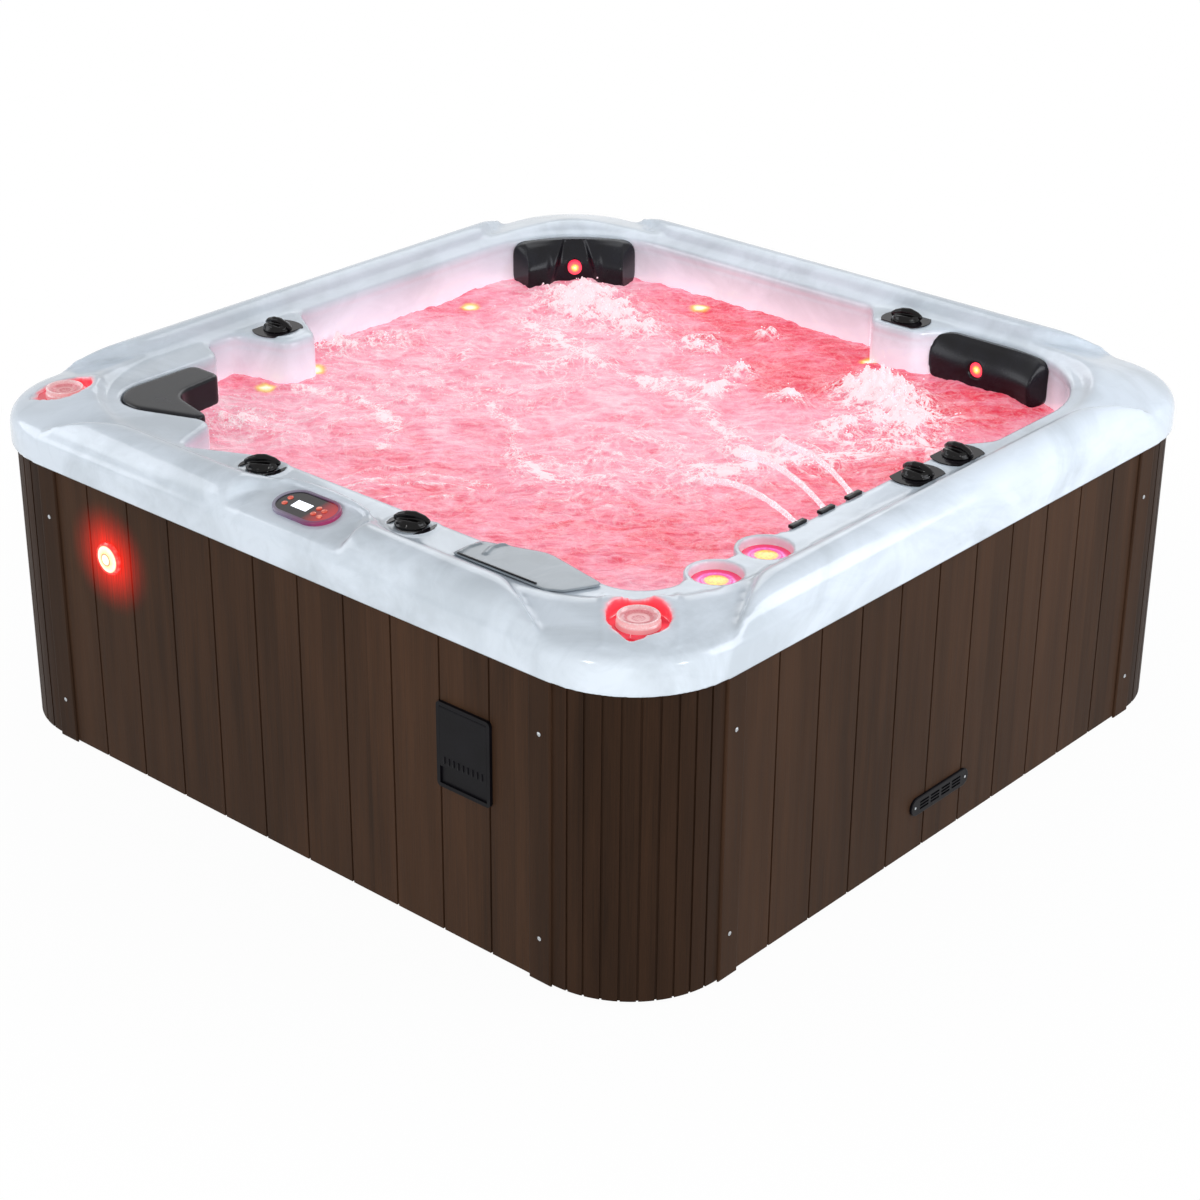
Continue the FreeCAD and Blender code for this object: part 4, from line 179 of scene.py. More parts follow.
def linear(hexColour):
    parts = [int(hexColour[i:i + 2], 16) / 255 for i in (1, 3, 5)]
    return tuple(c / 12.92 if c <= 0.04045 else ((c + 0.055) / 1.055) ** 2.4 for c in parts) + (1.0,)


def addNode(tree, kind, inputs=None, **settings):
    node = tree.nodes.new(kind)
    stops = settings.pop("stops", ())
    for name, value in settings.items():
        setattr(node, name, value)
    for stop in stops[2:]:
        node.color_ramp.elements.new(1.0)
    for element, (place, colour) in zip(node.color_ramp.elements if stops else (), stops):
        element.position = place
        element.color = linear(colour)
    for key, value in (inputs or {}).items():
        if isinstance(value, bpy.types.NodeSocket):
            tree.links.new(value, node.inputs[key])
        else:
            node.inputs[key].default_value = value
    return node


def newMaterial(name):
    material = bpy.data.materials.new(name)
    material.use_nodes = True
    material.node_tree.nodes.clear()
    return material, material.node_tree


def objectPlace(tree, scale=(1, 1, 1)):
    # object coordinates in real metres, times a scale for each axis
    coords = addNode(tree, "ShaderNodeTexCoord")
    return addNode(tree, "ShaderNodeMapping", {"Vector": coords.outputs["Object"], "Scale": scale}).outputs[0]


def cellPlace(tree, cell):
    # object coordinates counted in cells of a size in mm, one size or one for each axis
    sizes = cell if isinstance(cell, tuple) else (cell,) * 3
    return objectPlace(tree, tuple(1000.0 / size for size in sizes))


def clouds(tree, place, detail, roughness=0.5, distortion=0.0):
    return addNode(tree, "ShaderNodeTexNoise", {"Vector": place, "Scale": 1.0, "Detail": detail,
                                                "Roughness": roughness, "Distortion": distortion}).outputs[0]


def cellPattern(tree, cell):
    return addNode(tree, "ShaderNodeTexVoronoi", {"Vector": cellPlace(tree, cell), "Scale": 1.0})


def calc(tree, operation, *values, **settings):
    inputs = dict(enumerate(values))
    return addNode(tree, "ShaderNodeMath", inputs, operation=operation, **settings).outputs[0]


def span(tree, value, low, high, start=0.0, end=1.0, **settings):
    # the value carried over from one range to another
    ends = {"Value": value, "From Min": low, "From Max": high, "To Min": start, "To Max": end}
    return addNode(tree, "ShaderNodeMapRange", ends, **settings).outputs[0]


def tones(tree, value, stops):
    return addNode(tree, "ShaderNodeValToRGB", {0: value}, stops=stops).outputs[0]


def blend(tree, share, one, two):
    return addNode(tree, "ShaderNodeMix", {0: share, 6: one, 7: two}, data_type="RGBA").outputs[2]


def dents(tree, height, strength, distance):
    return addNode(tree, "ShaderNodeBump", {"Height": height, "Strength": strength,
                                            "Distance": distance}).outputs[0]


def gapTo(tree, place, centre):
    return addNode(tree, "ShaderNodeVectorMath", {0: place, 1: centre}, operation="DISTANCE").outputs["Value"]


def attribute(tree, name):
    return addNode(tree, "ShaderNodeAttribute", attribute_name=name).outputs["Fac"]


def surfaceFrom(tree, shader):
    addNode(tree, "ShaderNodeOutputMaterial", {"Surface": shader.outputs[0]})


def skinFrom(tree, inputs):
    surfaceFrom(tree, addNode(tree, "ShaderNodeBsdfPrincipled", inputs))


# most of a cloud pattern's values lie between these two
middling = (0.3, 0.7)
black = (0, 0, 0, 1)
white = (1, 1, 1, 1)


# Camera, as the picture was taken

picture = {
    "azimuth": 41.214,
    "elevation": 26.139,
    "roll": 0.512,
    "distance": 6.171,
    "target": (0.2163, -0.2356, 0.4062),
    "focalPixels": 2660.14,
    "widthPixels": 1200,
    "sensor": 36.0,
}


def makeCamera():
    turn, rise, roll = (math.radians(picture[k]) for k in ("azimuth", "elevation", "roll"))
    back = Vector((math.sin(turn) * math.cos(rise), -math.cos(turn) * math.cos(rise), math.sin(rise)))
    across = Vector((0, 0, 1)).cross(back).normalized()
    up = back.cross(across)
    rolledAcross = across * math.cos(roll) + up * math.sin(roll)
    rolledUp = up * math.cos(roll) - across * math.sin(roll)
    data = bpy.data.cameras.new("photoCamera")
    data.sensor_width = picture["sensor"]
    data.lens = picture["focalPixels"] * picture["sensor"] / picture["widthPixels"]
    camera = bpy.data.objects.new("photoCamera", data)
    turned = Matrix((rolledAcross, rolledUp, back)).transposed().to_4x4()
    place = Vector(picture["target"]) + back * picture["distance"]
    camera.matrix_world = Matrix.Translation(place) @ turned
    scene.collection.objects.link(camera)
    scene.camera = camera


# Light and floor

studio = {
    # the front lamp is left out of reflections: low light from the front would bleach the far ridges
    "lamps": {
        "frontLamp": {"place": (4.5, -6.1, 1.31), "size": (5.0, 2.2), "power": 226, "mirrored": False},
        "leftLamp": {"place": (-2.7, -1.9, 2.0), "size": (2.0, 1.6), "power": 28, "colour": "#f4f8ff"},
        "rightLamp": {"place": (2.4, 0.8, 1.9), "size": (1.8, 1.2), "power": 29, "colour": "#f4f8ff"},
        "backLamp": {"place": (-1.4, 1.6, 2.4), "size": (1.8, 1.8), "power": 17, "colour": "#f8fbff"},
        "glintLeft": {"place": (0.9, -5.4, 3.2), "size": (0.16, 0.16), "power": 34},
        "glintRight": {"place": (5.4, -1.2, 2.7), "size": (0.16, 0.16), "power": 30},
    },
    "aim": (0, 0, 0.45),
    "ambient": 0.30,
    "ambientColour": "#f2f6fa",
    "floorColour": "#f4f4f4",
    "floorRadius": 9.0,
    "floorDrop": 0.002,
    "shadowFade": (1.0, 2.6),   # metres from the middle where the shadow starts and ends to fade
    "floorWhite": 0.96,
}


def makeLamp(name, lamp):
    data = bpy.data.lights.new(name, "AREA")
    data.shape = "RECTANGLE"
    data.size, data.size_y = lamp["size"]
    data.energy = lamp["power"]
    data.color = linear(lamp.get("colour", "#ffffff"))[:3]
    piece = bpy.data.objects.new(name, data)
    piece.location = lamp["place"]
    away = Vector(lamp["place"]) - Vector(studio["aim"])
    piece.rotation_euler = away.to_track_quat("Z", "Y").to_euler()
    piece.visible_glossy = lamp.get("mirrored", True)
    scene.collection.objects.link(piece)


def cameraWhite(tree):
    # one for every ray that should meet plain white: seen straight, in a gloss or through glass
    rays = addNode(tree, "ShaderNodeLightPath").outputs
    either = calc(tree, "ADD", rays["Is Camera Ray"], rays["Is Glossy Ray"])
    return calc(tree, "ADD", either, rays["Is Transmission Ray"], use_clamp=True)


def makeWorld():
    world = bpy.data.worlds.new("studio")
    world.use_nodes = True
    tree = world.node_tree
    tree.nodes.clear()
    low = addNode(tree, "ShaderNodeBackground",
                  {"Color": linear(studio["ambientColour"]), "Strength": studio["ambient"]})
    full = addNode(tree, "ShaderNodeBackground", {"Color": white, "Strength": 1.0})
    mixed = addNode(tree, "ShaderNodeMixShader", {0: cameraWhite(tree), 1: low.outputs[0],
                                                  2: full.outputs[0]})
    addNode(tree, "ShaderNodeOutputWorld", {"Surface": mixed.outputs[0]})
    scene.world = world


def paintedFloor():
    # matt white studio paint that fades into the background away from the object
    material, tree = newMaterial("mattStudioPaint")
    matt = addNode(tree, "ShaderNodeBsdfDiffuse", {"Color": linear(studio["floorColour"])})
    glow = addNode(tree, "ShaderNodeEmission", {"Color": white, "Strength": 1.0})
    far = gapTo(tree, objectPlace(tree, (1, 1, 0)), (0, 0, 0))
    fade = span(tree, far, *studio["shadowFade"], studio["floorWhite"], 1.0, interpolation_type="SMOOTHSTEP")
    part = calc(tree, "MULTIPLY", cameraWhite(tree), fade)
    surfaceFrom(tree, addNode(tree, "ShaderNodeMixShader", {0: part, 1: matt.outputs[0], 2: glow.outputs[0]}))
    return material


def makeFloor():
    work = bmesh.new()
    bmesh.ops.create_circle(work, cap_ends=True, segments=96, radius=studio["floorRadius"])
    bmesh.ops.translate(work, verts=work.verts, vec=(0, 0, -studio["floorDrop"]))
    floor = asObject(work, "studioFloor")
    floor.data.materials.append(paintedFloor())


# Finishes that several pieces share

def mouldedPlastic(name, colour, darker, roughness, grain, bump, shine=0.5):
    # moulded plastic: an even colour with faint clouds, and a fine skin that breaks up the gloss
    material, tree = newMaterial(name)
    grit = clouds(tree, cellPlace(tree, grain), 4.0)
    cloud = clouds(tree, cellPlace(tree, grain * 25), 3.0)
    rough = span(tree, grit, *middling, roughness * 0.8, min(1.0, roughness * 1.25))
    skinFrom(tree, {"Base Color": tones(tree, cloud, [(0.35, darker), (0.65, colour)]), "Roughness": rough,
                    "Specular IOR Level": shine, "Normal": dents(tree, grit, 1.0, bump)})
    return material


def brushedSteel(name, colour, darker, roughness):
    # stainless steel, brushed: fine streaks along one way stretch every highlight
    material, tree = newMaterial(name)
    streaks = clouds(tree, cellPlace(tree, (20, 20, 0.8)), 5.0)
    skinFrom(tree, {"Base Color": tones(tree, streaks, [(0.3, darker), (0.7, colour)]), "Metallic": 1.0,
                    "Roughness": span(tree, streaks, *middling, roughness, roughness * 1.6),
                    "Normal": dents(tree, streaks, 0.4, 0.0001)})
    return material


def litPlastic(name, core, edge, strength, cell):
    # a clear plastic lens lit from behind: bright prisms with darker lines between them
    material, tree = newMaterial(name)
    prisms = cellPattern(tree, cell).outputs["Distance"]
    tone = tones(tree, prisms, [(0.15, core), (0.6, edge)])
    skinFrom(tree, {"Base Color": tone, "Roughness": 0.15, "Emission Color": tone,
                    "Emission Strength": strength})
    return material


def ringLight(name, centres, reach, strength, cell, stops, facets=0.35, flat=True):
    # a clear lens over a lamp: rings of colour round its centre, broken up by the small prisms in it
    material, tree = newMaterial(name)
    place = objectPlace(tree, (1, 1, 0 if flat else 1))
    gaps = [gapTo(tree, place, (x, y, 0 if flat else z)) for x, y, z in centres]
    nearest = gaps[0]
    for gap in gaps[1:]:
        nearest = calc(tree, "MINIMUM", nearest, gap)
    rings = tones(tree, span(tree, nearest, 0.0, reach), stops)
    prisms = cellPattern(tree, cell).outputs["Distance"]
    dark = span(tree, prisms, 0.25, 0.75, 0.0, facets)
    tone = blend(tree, dark, rings, linear(stops[-1][1]))
    skinFrom(tree, {"Base Color": blend(tree, 0.5, tone, black), "Roughness": 0.12, "Emission Color": tone,
                    "Emission Strength": strength})
    return material


def alongLight(name, start, end, strength, stops):
    # lit plastic whose colour changes along the panel, from one end to the other
    material, tree = newMaterial(name)
    parts = addNode(tree, "ShaderNodeSeparateXYZ", {0: objectPlace(tree)})
    tone = tones(tree, span(tree, parts.outputs[0], start, end), stops)
    grit = clouds(tree, cellPlace(tree, 3), 3.0)
    skinFrom(tree, {"Base Color": tone, "Roughness": 0.14, "Emission Color": tone,
                    "Emission Strength": strength, "Normal": dents(tree, grit, 0.3, 0.0002)})
    return material


# Marbled acrylic of the tub

acrylic = {
    "pale": "#dfe8f1",
    "grey": "#cbd4dc",
    "vein": "#b9c4cd",
    "litRed": "#ee2238",
    "cloudSize": 300,       # mm across one cloud of the marbling
    "veinSize": 110,
    "veinStretch": 2.5,
    "veinShare": 0.22,      # how strongly the darkest vein shows
    "roughness": 0.15,
    "coat": 0.15,
    "peelSize": 9,          # mm across one dimple of the moulded skin
    "peel": 0.00012,        # metres of height in it
    # painted light: the pink glow that the lit water throws on the walls, as an emission colour and strength
    "glowColour": "#ffe6f2",
    "glow": 0.45,
    # painted shade: the lid is the same acrylic drawn darker
    "lidShadedPale": "#8f99a1",
    "lidShadedGrey": "#7c858c",
}


def marbledAcrylic(name, pale, grey):
    # cast acrylic sheet, drawn by vacuum over a mould: clouds drift through it under a wet gloss
    material, tree = newMaterial(name)
    drift = clouds(tree, cellPlace(tree, acrylic["cloudSize"]), 5.0, 0.55, 1.6)
    cloudTone = tones(tree, drift, [(0.36, grey), (0.60, pale)])
    wide = acrylic["veinSize"]
    smoke = clouds(tree, cellPlace(tree, (wide, wide * acrylic["veinStretch"], wide)), 7.0, 0.62, 2.4)
    veins = span(tree, smoke, 0.50, 0.70, 0.0, acrylic["veinShare"])
    tone = blend(tree, veins, cloudTone, linear(acrylic["vein"]))
    peel = clouds(tree, cellPlace(tree, acrylic["peelSize"]), 2.0)
    # painted light: the pink glow of the lit water painted on the walls, and full red painted in the recesses
    # that have a lamp of their own
    paintedWaterGlow, lit, red = attribute(tree, "paintedWaterGlow"), attribute(tree, "lit"), linear(acrylic["litRed"])
    glow = calc(tree, "MULTIPLY", calc(tree, "ADD", paintedWaterGlow, lit), acrylic["glow"])
    rough = span(tree, smoke, *middling, acrylic["roughness"], acrylic["roughness"] * 1.25)
    skinFrom(tree, {"Base Color": blend(tree, lit, tone, red), "IOR": 1.49, "Roughness": rough,
                    "Coat Weight": acrylic["coat"], "Coat Roughness": 0.05,
                    "Normal": dents(tree, peel, 0.5, acrylic["peel"]),
                    "Emission Color": blend(tree, lit, linear(acrylic["glowColour"]), red),
                    "Emission Strength": glow})
    return material


# Boards of the cabinet

boards = {
    "light": "#4a3324",
    "dark": "#302117",
    "board": 139,          # mm from groove to groove
    "slat": 33,
    "strip": 400,
    # painted shade: how far the trim and the corner slats are darkened towards black
    "trimPaintedShade": 0.22,
    "slatPaintedShade": 0.42,
    "grain": 2.4,          # mm across one brushed line, drawn coarser than the real half millimetre
    "ownShade": 0.35,      # how far one board differs from the next
    "roughness": 0.5,
    "shine": 0.07,
    # the red that the cabinet lamp throws on the boards round it
    "glowPlace": (-0.560, -1.036, 0.545),
    "glowFrom": 0.035,
    "glowReach": 0.115,
    "glowFall": 2.3,
    "glowStrength": 1.9,
    "glowColour": "#ff1c12",
}


def woodPlastic(name, along, boardWidth, lit=False, paintedShade=0.0):
    # wood-plastic boards, extruded and brushed: fine upright lines, and each board a shade of its own
    material, tree = newMaterial(name)
    lines = clouds(tree, cellPlace(tree, (boards["grain"], boards["grain"], 160)), 6.0, 0.62)
    bands = clouds(tree, cellPlace(tree, (35, 35, 500)), 4.0)
    place = objectPlace(tree)
    parts = addNode(tree, "ShaderNodeSeparateXYZ", {0: place})
    number = calc(tree, "FLOOR", calc(tree, "DIVIDE", parts.outputs[along], boardWidth / 1000.0))
    each = addNode(tree, "ShaderNodeTexWhiteNoise", {"W": number}, noise_dimensions="1D").outputs["Value"]
    total = calc(tree, "MULTIPLY_ADD", each, boards["ownShade"], calc(tree, "ADD", lines, bands))
    tone = tones(tree, span(tree, total, 0.75, 1.6), [(0.0, boards["dark"]), (1.0, boards["light"])])
    rough = span(tree, lines, *middling, boards["roughness"] * 0.85, boards["roughness"] * 1.25)
    # painted shade: the whole finish darkened towards black by this share
    inputs = {"Base Color": blend(tree, paintedShade, tone, black), "Roughness": rough,
              "Specular IOR Level": boards["shine"], "Normal": dents(tree, lines, 0.6, 0.0006)}
    if lit:
        # painted light: the red glow of the cabinet lamp on the boards round it, as emission
        gap = gapTo(tree, place, boards["glowPlace"])
        near = span(tree, gap, boards["glowFrom"], boards["glowFrom"] + boards["glowReach"], 1.0, 0.0)
        grained = calc(tree, "MULTIPLY", calc(tree, "POWER", near, boards["glowFall"]), lines)
        inputs["Emission Color"] = linear(boards["glowColour"])
        inputs["Emission Strength"] = calc(tree, "MULTIPLY", grained, boards["glowStrength"])
    skinFrom(tree, inputs)
    return material


# Pillow foam

pillow = {
    "colour": "#16171e",
    "dark": "#0d0c10",
    "roughness": 0.24,
    "shine": 0.24,
    "pore": 3.0,           # mm across one pore, drawn coarser than the real ones
    "cloud": 70,
    "voxel": 0.003,
    "rubs": 22,
    "lastRubs": 4,
    "squareness": 5.0,     # how square the outline is: 2 is an oval
}


def skinnedFoam():
    # polyurethane foam moulded with its own skin: soft dull gloss over tiny pores
    material, tree = newMaterial("skinnedFoam")
    pores = clouds(tree, cellPlace(tree, pillow["pore"]), 5.0)
    cloud = clouds(tree, cellPlace(tree, pillow["cloud"]), 3.0)
    rough = span(tree, cloud, *middling, pillow["roughness"] * 0.85, pillow["roughness"] * 1.2)
    skinFrom(tree, {"Base Color": tones(tree, cloud, [(0.3, pillow["dark"]), (0.7, pillow["colour"])]),
                    "Roughness": rough, "Specular IOR Level": pillow["shine"],
                    "Normal": dents(tree, pores, 0.5, 0.0004)})
    return material


# Water

water = {
    "level": 0.700,
    "cell": 0.0052,
    "half": 0.93,
    "pale": "#ffc2d1",
    "mild": "#ff9cb4",
    "pink": "#fb7891",
    "red": "#f33a55",
    "foam": "#ffe3e9",
    "lampYellow": "#ffdf2a",
    "lampWhite": "#ffffe8",
    "emission": 0.64,
    "foamEmission": 0.78,
    "inside": 0.62,         # share of the colour that is light from inside and not paint
    "chop": 0.0100,
    "shortChop": 0.0014,
    "boil": 0.0130,
    "ripple": 0.006,
    "rippleLength": 95,     # mm along a ripple
    "rippleWidth": 28,      # mm from crest to crest
    "rippleTurn": -41,
    "driftSize": 190,
    "calmDepth": 0.42,
    "lampReach": 0.020,
    # places where a jet breaks the surface: x, y, reach, height
    "bursts": [(0.355, 0.655, 0.075, 0.040), (0.430, 0.600, 0.070, 0.024), (0.300, 0.620, 0.050, 0.018),
               (0.500, 0.550, 0.080, 0.014), (-0.640, 0.640, 0.100, 0.034), (-0.500, 0.600, 0.080, 0.022),
               (-0.380, 0.575, 0.060, 0.020), (-0.185, 0.604, 0.055, 0.020), (-0.091, 0.759, 0.030, 0.022),
               (0.011, 0.516, 0.042, 0.022), (0.040, 0.386, 0.050, 0.014), (0.213, 0.459, 0.042, 0.018),
               (0.421, 0.391, 0.048, 0.024), (-0.673, -0.534, 0.070, 0.012), (-0.860, -0.050, 0.060, 0.022),
               (-0.800, 0.080, 0.060, 0.014), (0.368, -0.067, 0.040, 0.012), (0.344, 0.109, 0.040, 0.012),
               (0.376, 0.219, 0.040, 0.012)],
    # milky places full of fine air: x, y, reach, strength
    "aerated": [(-0.45, 0.10, 0.30, 0.40), (0.20, -0.08, 0.22, 0.40), (-0.30, 0.42, 0.26, 0.22),
                (0.44, 0.16, 0.16, 0.45), (-0.62, -0.42, 0.24, 0.30), (0.14, -0.34, 0.20, 0.16),
                (0.48, 0.52, 0.16, 0.50), (-0.62, 0.62, 0.18, 0.16), (0.60, 0.40, 0.12, 0.40)],
    # calm places where the red of the lamps shows: x, y, reach, strength
    "calm": [(-0.12, 0.84, 0.24, 1.0), (0.16, 0.72, 0.22, 1.0), (0.60, 0.74, 0.22, 1.1),
             (0.14, 0.56, 0.12, 0.8), (-0.86, 0.40, 0.12, 0.5), (0.66, 0.30, 0.20, 0.8),
             (0.62, 0.00, 0.20, 0.5), (-0.40, 0.80, 0.16, 0.6), (-0.86, -0.26, 0.12, 0.7),
             (0.62, -0.28, 0.20, 0.35), (0.22, -0.52, 0.28, 0.50), (0.48, -0.38, 0.20, 0.45),
             (-0.20, -0.52, 0.20, 0.40)],
    # lamps under the surface: x, y
    "lamps": [(-0.818, 0.409), (-0.362, 0.819), (-0.782, -0.352), (0.202, 0.814), (-0.788, -0.182)],
    # crests of foam: width, strength, then the points they run through
    "crests": [
        (0.016, 0.42, ((-0.190, -0.640), (-0.175, -0.560), (-0.130, -0.490),
                       (-0.060, -0.440), (0.030, -0.415))),
        (0.007, 0.55, ((-0.160, -0.650), (-0.140, -0.580), (-0.095, -0.520),
                       (-0.030, -0.480), (0.040, -0.465))),
        (0.006, 0.50, ((-0.100, -0.650), (-0.080, -0.600), (-0.040, -0.555), (0.020, -0.525))),
        (0.007, 0.40, ((-0.240, -0.620), (-0.235, -0.550), (-0.205, -0.480), (-0.150, -0.420))),
        (0.026, 0.7, ((-0.600, 0.420), (-0.300, 0.330), (-0.133, 0.307), (0.036, 0.297), (0.272, 0.171))),
        (0.022, 0.8, ((-0.133, 0.320), (-0.066, 0.368), (0.062, 0.380))),
        (0.030, 0.7, ((0.300, -0.020), (0.406, 0.000), (0.404, 0.130), (0.473, 0.193), (0.566, 0.359))),
        (0.020, 0.6, ((-0.700, -0.300), (-0.520, -0.240), (-0.380, -0.300), (-0.300, -0.420))),
        (0.018, 0.6, ((-0.300, -0.060), (-0.160, -0.120), (-0.060, -0.240), (0.100, -0.300))),
    ],
    "crestWander": 0.010,
    "crestHeight": 0.004,
    "beads": 1500,
    "beadSizes": (0.0011, 0.0030),
}


def foamThreads(tree, cell, thin):
    # fine white threads where a cloud passes through its middle value
    off = calc(tree, "SUBTRACT", clouds(tree, cellPlace(tree, cell), 3.0, 0.55, 2.2), 0.5)
    return span(tree, calc(tree, "ABSOLUTE", off), 0.0, thin, 1.0, 0.0)


def foamBubbles(tree, cell, few):
    # single bubbles: one small dot in some of the cells
    cells = cellPattern(tree, cell)
    pick = addNode(tree, "ShaderNodeSeparateXYZ", {0: cells.outputs["Color"]})
    dot = span(tree, cells.outputs["Distance"], 0.16, 0.34, 1.0, 0.0)
    return calc(tree, "MULTIPLY", dot, calc(tree, "GREATER_THAN", pick.outputs[0], few))


def bubblingWater():
    # bath water lit by red lamps under it: the colour comes from inside, foam and bubbles stay white
    material, tree = newMaterial("bubblingWater")
    calm, foam, lamp = (attribute(tree, name) for name in ("calm", "foam", "lamp"))
    coords = addNode(tree, "ShaderNodeTexCoord")
    turn = (0, 0, math.radians(water["rippleTurn"]))
    lying = addNode(tree, "ShaderNodeMapping", {"Vector": coords.outputs["Object"], "Rotation": turn})
    long, wide = 1000.0 / water["rippleLength"], 1000.0 / water["rippleWidth"]
    stretched = addNode(tree, "ShaderNodeMapping", {"Vector": lying.outputs[0], "Scale": (long, wide, wide)})
    ripples = clouds(tree, stretched.outputs[0], 3.5, 0.55, 1.2)
    drift = clouds(tree, cellPlace(tree, water["driftSize"]), 4.0, 0.5, 2.0)

    def plus(one, two, share):
        return calc(tree, "MULTIPLY_ADD", two, share, one)

    # painted light and shade: the ripples make the colour paler and redder in streaks, standing in for the
    # light their slopes would catch
    rednessWithRippleShade = span(tree, plus(plus(calm, ripples, 0.72), drift, 0.75), 0.50, 1.26)
    ground = tones(tree, rednessWithRippleShade, [(0.10, water["pale"]), (0.34, water["mild"]), (0.62, water["pink"]),
                                 (0.95, water["red"])])
    laced = plus(foamThreads(tree, 170, 0.060), foamThreads(tree, 75, 0.055), 0.9)
    fringed = plus(laced, foamThreads(tree, 30, 0.050), 0.7)
    dotted = plus(foamBubbles(tree, 11, 0.66), foamBubbles(tree, 6, 0.74), 0.9)
    masked = calc(tree, "MULTIPLY", plus(fringed, dotted, 0.9), foam)
    froth = calc(tree, "ADD", masked, span(tree, foam, 0.75, 1.7, 0.0, 0.85), use_clamp=True)
    foamy = blend(tree, froth, ground, linear(water["foam"]))
    glowing = tones(tree, lamp, [(0.30, water["lampYellow"]), (0.80, water["lampWhite"])])
    whole = blend(tree, span(tree, lamp, 0.08, 0.5), foamy, glowing)
    brightest = calc(tree, "MAXIMUM", lamp, froth)
    skinFrom(tree, {"Base Color": blend(tree, water["inside"], whole, black), "IOR": 1.33,
                    "Roughness": span(tree, froth, 0.0, 1.0, 0.06, 0.5),
                    "Normal": dents(tree, plus(ripples, froth, 0.35), 1.0, water["ripple"]),
                    "Emission Color": whole,
                    "Emission Strength": span(tree, brightest, 0.0, 1.0, water["emission"],
                                              water["foamEmission"])})
    return material


def frothSkin():
    # froth: small wet bubbles packed together, white, with the pink of the lit water under them painted
    # between the bubbles and a faint painted glow
    material, tree = newMaterial("froth")
    cells = cellPattern(tree, 4).outputs["Distance"]
    tone = tones(tree, cells, [(0.2, "#fff2f4"), (0.8, "#ffc2cf")])
    skinFrom(tree, {"Base Color": tone, "Roughness": 0.2, "IOR": 1.33,
                    "Normal": dents(tree, cells, 0.5, 0.001), "Emission Color": tone,
                    "Emission Strength": 0.42})
    return material


def fallingWater():
    # clear falling water: the pink shows through it, white streaks are painted highlights, and it has a faint
    # painted pink glow
    material, tree = newMaterial("fallingWater")
    swirl = clouds(tree, cellPlace(tree, 9), 4.0, 0.5, 1.0)
    skinFrom(tree, {"Base Color": tones(tree, swirl, [(0.42, "#ffd9e1"), (0.62, "#ffffff")]), "IOR": 1.33,
                    "Roughness": 0.04, "Transmission Weight": span(tree, swirl, 0.45, 0.65, 0.9, 0.25),
                    "Normal": dents(tree, swirl, 0.7, 0.002), "Emission Color": linear("#ffe6ec"),
                    "Emission Strength": 0.16})
    return material


def crestStrength(x, y):
    total = 0.0
    wander = water["crestWander"] * noise.noise(Vector((x * 22.0, y * 22.0, 4.4)))
    for wide, strength, points in water["crests"]:
        off = lineDistance(x, y, points) + (wander if wide > 0.01 else wander * 0.3)
        if off < wide * 2.5:
            total += strength * hump(off / wide)
    return total


def burstHeight(x, y):
    # the heap of water over each jet, torn by its own turbulence
    total = 0.0
    for cx, cy, reach, height in water["bursts"]:
        off = math.hypot(x - cx, y - cy) / reach
        if off < 2.2:
            torn = noise.fractal(Vector((x * 34.0, y * 34.0, 5.2)), 0.7, 2.1, 4)
            total += height * hump(off) * max(0.15, 0.75 + 1.1 * torn)
    return total


def boilRidge(x, y):
    # sharp little crests of boiling water, bent by slow eddies, from 0 to 1
    swirl = noise.noise_vector(Vector((x * 4.0, y * 4.0, 2.2))) * 0.9
    across, along = x * 0.752 + y * 0.659, x * 0.659 - y * 0.752
    wave = noise.noise(Vector((across * 7.0 + swirl.x, along * 17.0 + swirl.y, 6.1)))
    finer = noise.noise(Vector((across * 21.0 + swirl.y, along * 34.0 + swirl.x, 8.3)))
    return max(0.0, 1.0 - abs(wave) * 3.4) ** 2 * (0.65 + 0.7 * finer)


def waterFoam(x, y, heap, crest, ridge):
    drift = noise.fractal(Vector((x * 5.0, y * 5.0, 3.1)), 0.9, 2.1, 5)
    cloud = max(0.0, 0.7 + 0.9 * drift)
    churned = spots(x, y, water["aerated"]) * (0.7 * cloud + 1.6 * max(0.0, ridge))
    return min(2.0, 0.13 + churned + crest * (0.6 + 0.5 * cloud) + heap * 62.0 * (0.5 + 0.5 * cloud))


def waterHeight(x, y, heap, crest, ridge):
    chop = noise.fractal(Vector((x * 9.0, y * 9.0, 1.7)), 0.8, 2.2, 5)
    short = noise.fractal(Vector((x * 42.0, y * 42.0, 7.7)), 0.9, 2.0, 3)
    air = min(1.0, 0.25 + spots(x, y, water["aerated"]))
    return (water["chop"] * chop + water["shortChop"] * short + heap + water["crestHeight"] * min(1.2, crest)
            + water["boil"] * ridge * air)


def makeWater(shellTree):
    work = bmesh.new()
    count = int(2 * water["half"] / water["cell"])
    bmesh.ops.create_grid(work, x_segments=count, y_segments=count, size=water["half"])
    bmesh.ops.translate(work, verts=work.verts, vec=(0, 0, water["level"]))
    up = Vector((0, 0, 1))
    wet = {f: shellTree.ray_cast(f.calc_center_median(), up)[0] is None for f in work.faces}
    dry = [f for f in work.faces if not wet[f] and not any(wet[g] for v in f.verts for g in v.link_faces)]
    bmesh.ops.delete(work, geom=dry, context="FACES")
    foam, calm, lamp = (work.verts.layers.float.new(name) for name in ("foam", "calm", "lamp"))
    lampSpots = [(x, y, water["lampReach"], 1.0) for x, y in water["lamps"]]
    for v in work.verts:
        x, y = v.co.x, v.co.y
        heap, crest, ridge = burstHeight(x, y), crestStrength(x, y), boilRidge(x, y)
        v[foam] = waterFoam(x, y, heap, crest, ridge)
        v[calm] = min(1.0, spots(x, y, water["calm"])) * water["calmDepth"]
        v[lamp] = spots(x, y, lampSpots)
        v.co.z += waterHeight(x, y, heap, crest, ridge)
    tree = BVHTree.FromBMesh(work)
    finish(work, "bathWater", bubblingWater())
    return tree


